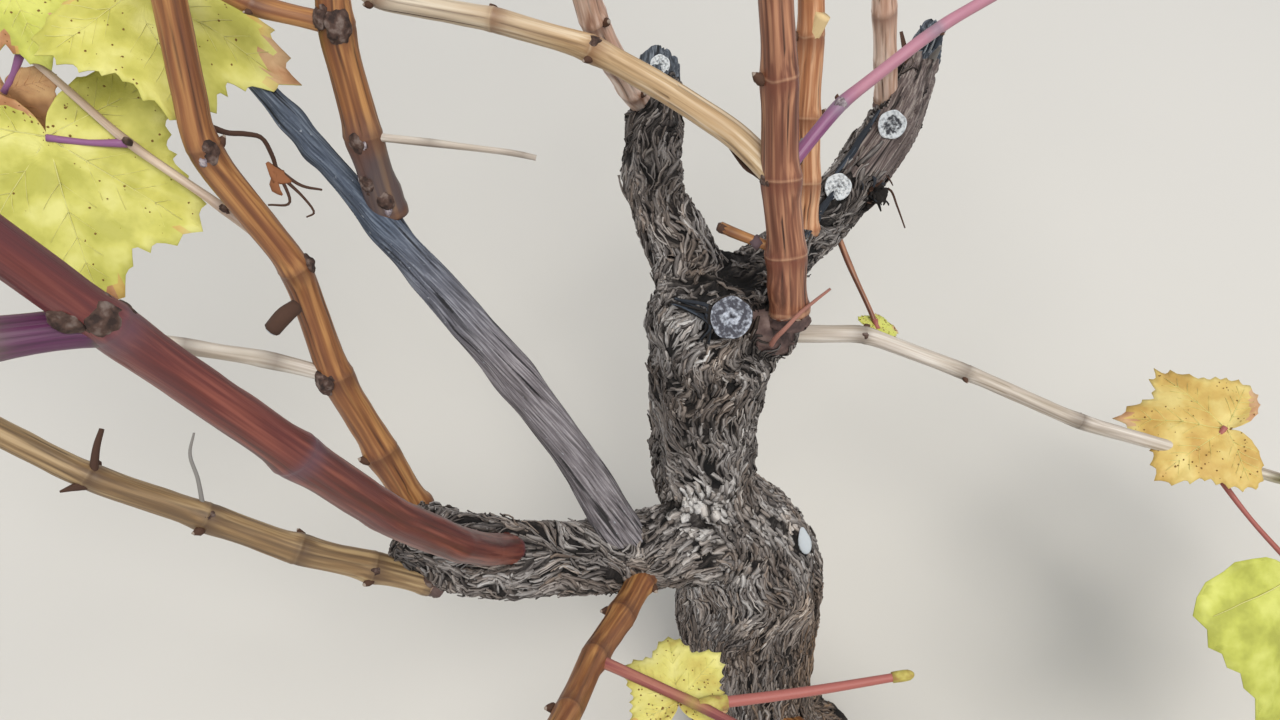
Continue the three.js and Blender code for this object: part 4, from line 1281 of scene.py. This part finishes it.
# A crusted lump: a ball pushed in and out by soft noise, on three half axes.
def lumpPart(at, axes, seed, material):
    spots = knotPoints + seed
    crust = 1 + 0.3 * softNoise(spots * 1.3, 52) + 0.12 * softNoise(spots * 3.0, 53)
    crust = crust + 0.04 * softNoise(spots * 7, 54)
    points = (knotPoints * crust[:, None]) @ axes + np.array(at)
    return {"points": points, "faces": knotFaces, "material": material}


knotRows = [(name, row) for name, rows in knots.items() for row in rows]
for order, (name, (k, wide, turn, past)) in enumerate(knotRows):
    joint = grown[name][k]
    deal = np.random.default_rng(order * 31 + 5)
    upperSide = squareTo(joint["way"], Vector((0, -0.6, 0.8)))
    facing = Matrix.Rotation(math.radians(turn), 3, joint["way"]) @ upperSide
    for i, size in enumerate((1.0, 0.55, 0.45, 0.4)):
        spread = Matrix.Rotation(deal.normal(0, 0.5) if i else 0, 3, joint["way"]) @ facing
        along = past + (deal.normal(0, wide * 0.24) if i else 0)
        at = joint["at"] + spread * joint["radius"] * 0.9 + joint["way"] * along
        side = spread.cross(joint["way"]).normalized()
        axes = rowsOf([spread * wide * 0.22, side * wide * 0.36, joint["way"] * wide * 0.46]) * size
        isWoolly = name == "shoot_purple" or (i == 1 and wide > 6 and name != "cane_near")
        budParts.append(lumpPart(at, axes, order * 5.3 + i, woollyCrust if isWoolly else nodeCrust))
place(makePiece("buds", budParts, budTints), "ripe_cane")

# The skin of the old wood ends in a thin ragged lip round the foot of each cane that stands on it.
collarTints = [youngBark, makePlain("torn bark lip", "#8E7666", 0.85, 1, 0.0003)]
collarRows = [
    # from, to, wider than the cane below and above, material
    (-4.5, 0.6, 1.2, 1.05, 0), (0.5, 1.0, 1.1, 1.05, 1),
]
collarParts = []
for name, cane in canes.items():
    joint = grown[name][0]
    hasCollar = "on" not in cane and name not in ("cane_near", "cane_spur")
    for first, last, wider, narrow, tint in collarRows if hasCollar else []:
        points = [joint["at"] + joint["way"] * t for t in np.linspace(first, last, 7)]
        part = rodPart(points, joint["radius"] * np.linspace(wider, narrow, 7), 36, tint, 0.5)
        ragged = 0.9 * softNoise(part["points"] / 3.0, 61) + 0.4 * softNoise(part["points"] / 1.2, 62)
        part["points"] = part["points"] + ragged[:, None] * np.array([1, 1, 1.2])
        collarParts.append(part)
place(makePiece("cane_collars", collarParts, collarTints), "bark")


# Sawn ends, torn wood and dry threads on the old wood

# A sawn stub: a cylinder whose end is inset in steps towards its pith, with a rough rim.
endReach = 5   # an end's radius in its own grain coordinates
endSteps = [
    # inset in shares of the radius, and lift in mm
    (0.07, 0.3), (0.18, -0.25), (0.2, 0.1), (0.2, -0.15), (0.16, 0.1), (0.1, -0.2),
]
for name, cut in cuts.items():
    radius = cut["radius"] * mm
    deselectAll()
    bpy.ops.mesh.primitive_cylinder_add(vertices=44, radius=radius, depth=cut["deep"] * mm)
    piece = bpy.context.active_object
    piece.name = name
    bpy.context.tool_settings.mesh_select_mode = (False, False, True)
    pick(piece, "polygons", lambda face: face.normal.z > 0.9)
    for share, lift in endSteps:
        bpy.ops.mesh.inset(thickness=share * radius)
        bpy.ops.transform.translate(value=(0, 0, lift * mm))
    bpy.ops.mesh.poke()
    pick(piece, "polygons", lambda face: abs(face.normal.z) < 0.3)
    bpy.ops.mesh.subdivide(number_cuts=2)
    bpy.ops.mesh.select_all(action="DESELECT")
    editMode(False)
    spots = readPoints(piece) / mm
    angle = np.arctan2(spots[:, 1], spots[:, 0])
    isEnd = spots[:, 2] > cut["deep"] / 2 - 1.2
    shaped = spots.copy()
    shaped[:, :2] *= (1 + 0.07 * noiseAt(71, np.cos(angle) * 2, np.sin(angle) * 2, spots[:, 2] / 9))[:, None]
    tall = noiseAt(72, np.cos(angle) * 4, np.sin(angle) * 4, spots[:, 0] * 0.4)
    shaped[:, 2] += np.where(isEnd, 0.45 * tall, 0)
    way = heading(*cut["heading"])
    side = levelSide(way)
    matrix = np.array(Matrix((side, way.cross(side), way)).transposed())
    movePoints(piece, shaped @ matrix.T + np.array(cut["at"]) - np.array(way) * cut["deep"] / 2)
    acrossEnd = spots[:, :2] * endReach / cut["radius"]
    storeValues(piece, "grain", np.c_[acrossEnd, np.where(isEnd, 0, spots[:, 2])])
    storeValues(piece, "relief", np.full(len(spots), 0.42))
    storeValues(piece, "warm", np.full(len(spots), 0.7))
    piece.data.materials.append(bark if name == "sawn_head" else strippedWood)
    piece.data.materials.append(cut["end"])
    ends = np.array([isEnd[list(face.vertices)].all() for face in piece.data.polygons])
    piece.data.polygons.foreach_set("material_index", ends.astype(np.int32))
    piece.data.update()
    place(piece, "bark")

threadTints = [makePlain(*row) for row in (
    ("dry dark thread", "#4A3328", 0.9, 0.6), ("dry grey thread", "#86827E", 0.9, 0.6),
    ("dry pink stalk", "#96675A", 0.75, 0.6), ("fresh pale wood", "#D8BE8E", 0.7, 0.8),
    ("torn blue grey wood", "#414954", 0.9, 0.8, 0.0003), ("chalky wood", "#B9BFC4", 0.9, 0.8, 0.0003),
    ("dry leaf scrap", "#8C5A3A", 0.85, 1.0, 0.0003), ("blue black bark", "#262B33", 0.85, 1.0, 0.0004),
    ("black rotten bark", "#1F1B19", 0.95, 0.9, 0.0005), ("grey purple knob", "#5B4A4E", 0.9, 0.6, 0.0003))]
threadTints.append(makeMottled("yellow green joint", "#9C7E48 #AEA050 #C2B668", 4.0, 0.6, 0.0002))
(darkThread, greyThread, dryPink, paleWood, blueWood, chalkWood, leafScrap, blackBark, rotten, knobGrey,
 greenJoint) = range(11)
# Rods through a few points: the points, the radii, the tint and the flatness.
threads = [
    # the dry stalk under the head
    ([[9.7, 125.3, 264.5], [2.4, 117.7, 266.8], [-4.8, 109.5, 269.9], [-10.6, 103.9, 267.6],
      [-14.1, 102.7, 262.1], [-15.4, 103.0, 256.4]], [0.6, 0.75, 0.85, 0.95, 1.1, 1.3], dryPink, 0.8),
    # the joint and the tip of the front stalk
    ([[-46.6, -28.7, 207.4], [-41.7, -28.0, 206.7], [-35.7, -27.2, 205.9]], [2.6, 3.2, 3.0], greenJoint, 1),
    ([[28.6, -18.1, 206.6], [32.6, -17.6, 207.1], [35.6, -17.2, 207.4], [37.0, -17.0, 207.4]],
     [2.15, 2.3, 2.0, 0.7], greenJoint, 1),
    # the torn end of the right arm
    ([[72, 272, 256], [69, 271.5, 268], [65.9, 270.9, 277.7]], [3.2, 2.4, 1.3], blueWood, 0.35),
    ([[72, 274, 258], [70.5, 271, 269], [68.7, 267.7, 279]], [2.6, 2.2, 0.9], chalkWood, 0.3),
    ([[74, 275, 260], [73, 271, 270], [71.4, 267.3, 281]], [3.0, 2.3, 1.1], blueWood, 0.35),
    ([[75, 274, 259], [75, 270, 270], [75.5, 265, 281.5]], [2.8, 2.3, 1.0], blueWood, 0.3),
    ([[74, 268, 257], [74, 264, 267], [73.5, 258.4, 277]], [2.6, 1.9, 0.8], greyThread, 0.4),
    ([[63, 262, 260], [60.5, 264.7, 266], [57.3, 272.1, 274]], [2.0, 2.4, 1.2], darkThread, 0.35),
    # a tendril at the right arm
    ([[43, 210, 229], [46.2, 210, 230.1], [52, 207.3, 233.2], [54.9, 199.4, 230.6], [58.2, 189.1, 226.5]],
     [0.9, 0.7, 0.6, 0.5, 0.35], darkThread, 1),
    # old bud scales at the crossing
    ([[-20.6, 143.8, 311.4], [-24, 146, 312.5], [-28.2, 148.4, 313.1], [-34.6, 156, 315.5]],
     [2.8, 2.6, 1.8, 0.5], darkThread, 0.5),
    ([[-23.6, 147.2, 313.4], [-22.0, 147.8, 316.2]], [1.7, 1.5], chalkWood, 0.8),
    ([[-8.6, 148.6, 319.5], [-6.2, 151.8, 323.5]], [2.6, 2.1], greyThread, 0.8),
    ([[-9.5, 147, 317], [-7.6, 149, 316.5]], [2.4, 1.4], darkThread, 0.8),
    # a pale cut on the rear cane
    ([[1.6, 216.6, 310], [4.2, 219, 318], [6.6, 220.8, 325.4]], [2.0, 3.2, 3.7], paleWood, 0.75),
    # a hollow stub on the left cane
    ([[-189.7, 83.7, 311.6], [-193.2, 79.0, 312.2], [-197.8, 75.4, 308.8]], [2.6, 3.2, 3.0], darkThread, 1),
    ([[-196.6, 76.3, 309.7], [-198.3, 75.0, 308.5]], [2.3, 2.2], chalkWood, 1),
    # the dark tip of the short twig
    ([[-34.2, 137.1, 288.2], [-36.5, 138.2, 288.4], [-38.0, 138.8, 288.5]], [2.0, 2.3, 1.6], darkThread, 1),
    # a tendril with scraps of leaf on the left cane
    ([[-210.5, 115.5, 366.5], [-207.7, 116.5, 365.1], [-205, 119.4, 359.9], [-201.7, 123.5, 355.3],
      [-198.3, 126.6, 350.2], [-197.1, 125.9, 342.7], [-197.1, 124.9, 337.3]],
     [1.3, 1.1, 0.9, 0.9, 0.8, 0.8, 0.7], darkThread, 1),
    ([[-197.1, 124.9, 337.3], [-189.4, 121.2, 332.6], [-181.6, 119.7, 331.7]],
     [0.8, 0.6, 0.4], darkThread, 1),
    ([[-197.1, 124.9, 337.3], [-192.6, 115.4, 330.2], [-199.9, 113.8, 330.4]],
     [0.7, 0.5, 0.35], darkThread, 1),
    ([[-194.3, 122, 334.3], [-188, 117, 331], [-184.1, 112.4, 328.3], [-186, 109.5, 329]],
     [0.7, 0.5, 0.4, 0.3], darkThread, 1),
    ([[-199.5, 125, 340], [-196, 122, 336], [-192, 121.5, 334]], [0.6, 3.0, 0.5], leafScrap, 0.3),
    ([[-197, 122.5, 338], [-197.5, 119, 334], [-195, 117, 332]], [0.5, 2.2, 0.4], leafScrap, 0.35),
    # a tendril and two twigs on the low cane
    ([[-231.6, 29.5, 252.5], [-233.4, 40.3, 260.9], [-236.4, 48.2, 265.8], [-235.8, 56.1, 268.4]],
     [1.0, 0.8, 0.7, 0.45], greyThread, 1),
    ([[-262.6, 31.5, 277], [-260.5, 40.7, 284.7], [-259.5, 47.9, 286.9]], [1.7, 1.3, 0.9], darkThread, 1),
    ([[-264, 31.5, 276], [-267, 29.5, 278.4], [-271.6, 27, 279.5]], [2.0, 1.6, 0.4], darkThread, 1),
    # the woolly bud of the short twig
    ([[-24.0, 131, 286.4], [-21.2, 132.2, 288.8]], [2.9, 2.5], knobGrey, 0.9),
]
threadParts = [rodPart(points, radii, 8, tint, 1.6, flat) for points, radii, tint, flat in threads]
# Torn slivers that lie side by side: where they run, how many, spread across, half width, and tints. Those
# with a snap lie on the bark at about that height.
sheaves = [
    # left of the head cut
    {"run": [[-57, 119, 271.5], [-51.5, 113, 271], [-46.5, 106.5, 267.5], [-42, 100, 260]], "count": 26,
     "spread": [3.0, 3.2, 1.0], "wide": 0.85, "tints": [rotten, blackBark, rotten, rotten, blueWood, rotten],
     "snap": 1.0},
    # the tip of the right arm
    {"run": [[70, 270, 256], [71, 269.5, 266], [71.5, 266, 279]], "count": 13, "spread": [3.4, 0.6, 2.0],
     "wide": 1.3, "tints": [blueWood, blackBark, blueWood, blackBark, chalkWood]},
    # the left side of the right arm, low and high
    {"run": [[5.2, 169.2, 243.6], [10.9, 180.7, 242.5], [17.1, 192.5, 242.8], [23, 203.8, 242.8]], "count": 9,
     "spread": [2.0, 1.6, 1.0], "wide": 1.1, "tints": [blackBark, blackBark, blueWood], "snap": 0.5},
    {"run": [[24.7, 213, 243.8], [30.4, 219.9, 248.1], [36.2, 227.6, 252.9], [43.3, 236.3, 256.1]],
     "count": 12, "spread": [2.4, 1.6, 1.6], "wide": 1.1, "tints": [blackBark, blackBark, blueWood],
     "snap": 0.5},
]
sheafSeed = 17
deal = np.random.default_rng(sheafSeed)
for sheaf in sheaves:
    for i in range(sheaf["count"]):
        aside = np.array(sheaf["spread"]) * (i / (sheaf["count"] - 1) * 2 - 1) + deal.normal(0, 0.35, 3)
        points = np.array(sheaf["run"]) + aside
        points += deal.normal(0, 0.4, points.shape)
        points[-1] = lerp(points[-2], points[-1], deal.uniform(0.4, 1.15))
        if "snap" in sheaf:
            near = [skinTree.find_nearest(Vector(point)) for point in points]
            lifted = sheaf["snap"] * deal.uniform(0.6, 1.6)
            points = rowsOf(found + normal * lifted for found, normal, _, _ in near)
        wide = sheaf["wide"] * deal.uniform(0.6, 1.3)
        radii = [wide * 0.6] + [wide] * (len(points) - 2) + [wide * 0.35]
        threadParts.append(rodPart(points, radii, 6, sheaf["tints"][i % len(sheaf["tints"])], 2.2, 0.5))
# Rotten bark that hangs together under the right arm.
clump = {"at": [42.8, 206, 232], "reach": 8.5, "count": 64, "lumps": 15, "seed": 9}
deal = np.random.default_rng(clump["seed"])
for k in range(clump["lumps"]):
    at = np.array(clump["at"]) + deal.normal(0, clump["reach"] / 2.6, 3)
    threadParts.append(lumpPart(at, np.eye(3) * deal.uniform(1.8, 3.8), k * 3.1, rotten))
for _ in range(clump["count"]):
    at = np.array(clump["at"]) + deal.normal(0, clump["reach"] / 2.2, 3)
    turn = deal.normal(0, 1, 3)
    turn /= np.linalg.norm(turn)
    bendBy = deal.normal(0, 0.5, 3)
    points = [at + turn * t + bendBy * t * t / 8 for t in (-4, -1.5, 1.5, 4)]
    tint = int(deal.choice([darkThread, rotten, rotten, blackBark]))
    threadParts.append(rodPart(points, [0.4, 0.9, 0.8, 0.3], 6, tint, 2, 0.5))
# The scar is a lens that lies on the bulge, turned half towards the side it is seen from.
found, outWay, _, _ = skinTree.find_nearest(Vector(scar["at"]))
outWay = (outWay * 0.7 + Vector((-0.16, -0.36, 0.92)) * 0.6).normalized()
riseWay = squareTo(outWay, Vector((-0.05, 0.45, 0.89)))
scarAxes = rowsOf([outWay * 0.9, outWay.cross(riseWay) * scar["wide"], riseWay * scar["high"]])
scarAt = np.array(found + outWay * scar["lifted"])
threadParts.append({"points": budPoints * [1, 1, 1 / 1.2] @ scarAxes + scarAt, "faces": budFaces,
                    "material": chalkWood})
place(makePiece("dry_threads", threadParts, threadTints), "bark")


# What the picture is taken on and with

deselectAll()
bpy.ops.mesh.primitive_plane_add(size=8, location=(0, 1, 0))
floor = bpy.context.active_object
floor.name = "floor"
floorPaint, floorTree = newMaterial("pale matt floor", 0.9)
floorTree.nodes["Principled BSDF"].inputs["Base Color"].default_value = linear("#CFCBC4")
floor.data.materials.append(floorPaint)

scene = bpy.context.scene
scene.view_settings.view_transform = "Standard"
world = bpy.data.worlds.new("soft sky")
scene.world = world
world.use_nodes = True
world.node_tree.nodes["Background"].inputs["Color"].default_value = linear("#E6ECF4")
world.node_tree.nodes["Background"].inputs["Strength"].default_value = 0.75
vineMiddle = Vector((-0.05, 0.1, 0.2))
lamps = {
    "high softbox": {"location": (0.5, -0.7, 2.3), "size": 1.3, "power": 42},
    "fill softbox": {"location": (-1.6, 0.6, 1.8), "size": 1.8, "power": 14},
}
for name, lamp in lamps.items():
    light = bpy.data.lights.new(name, "AREA")
    light.size = lamp["size"]
    light.energy = lamp["power"]
    light.color = (1.0, 0.97, 0.92)
    holder = bpy.data.objects.new(name, light)
    holder.location = lamp["location"]
    holder.rotation_euler = (Vector(lamp["location"]) - vineMiddle).to_track_quat("Z", "Y").to_euler()
    scene.collection.objects.link(holder)

camera = bpy.data.objects.new("camera", bpy.data.cameras.new("camera"))
camera.data.lens = 28.125   # a focal length of 1000 pixels in a picture 1280 wide
camera.data.sensor_width = 36
camera.data.clip_start = 0.01
camera.location = (-0.069, -0.119, 0.6)
camera.rotation_euler = (math.radians(32), 0, 0)
scene.collection.objects.link(camera)
scene.camera = camera

print("scene made")
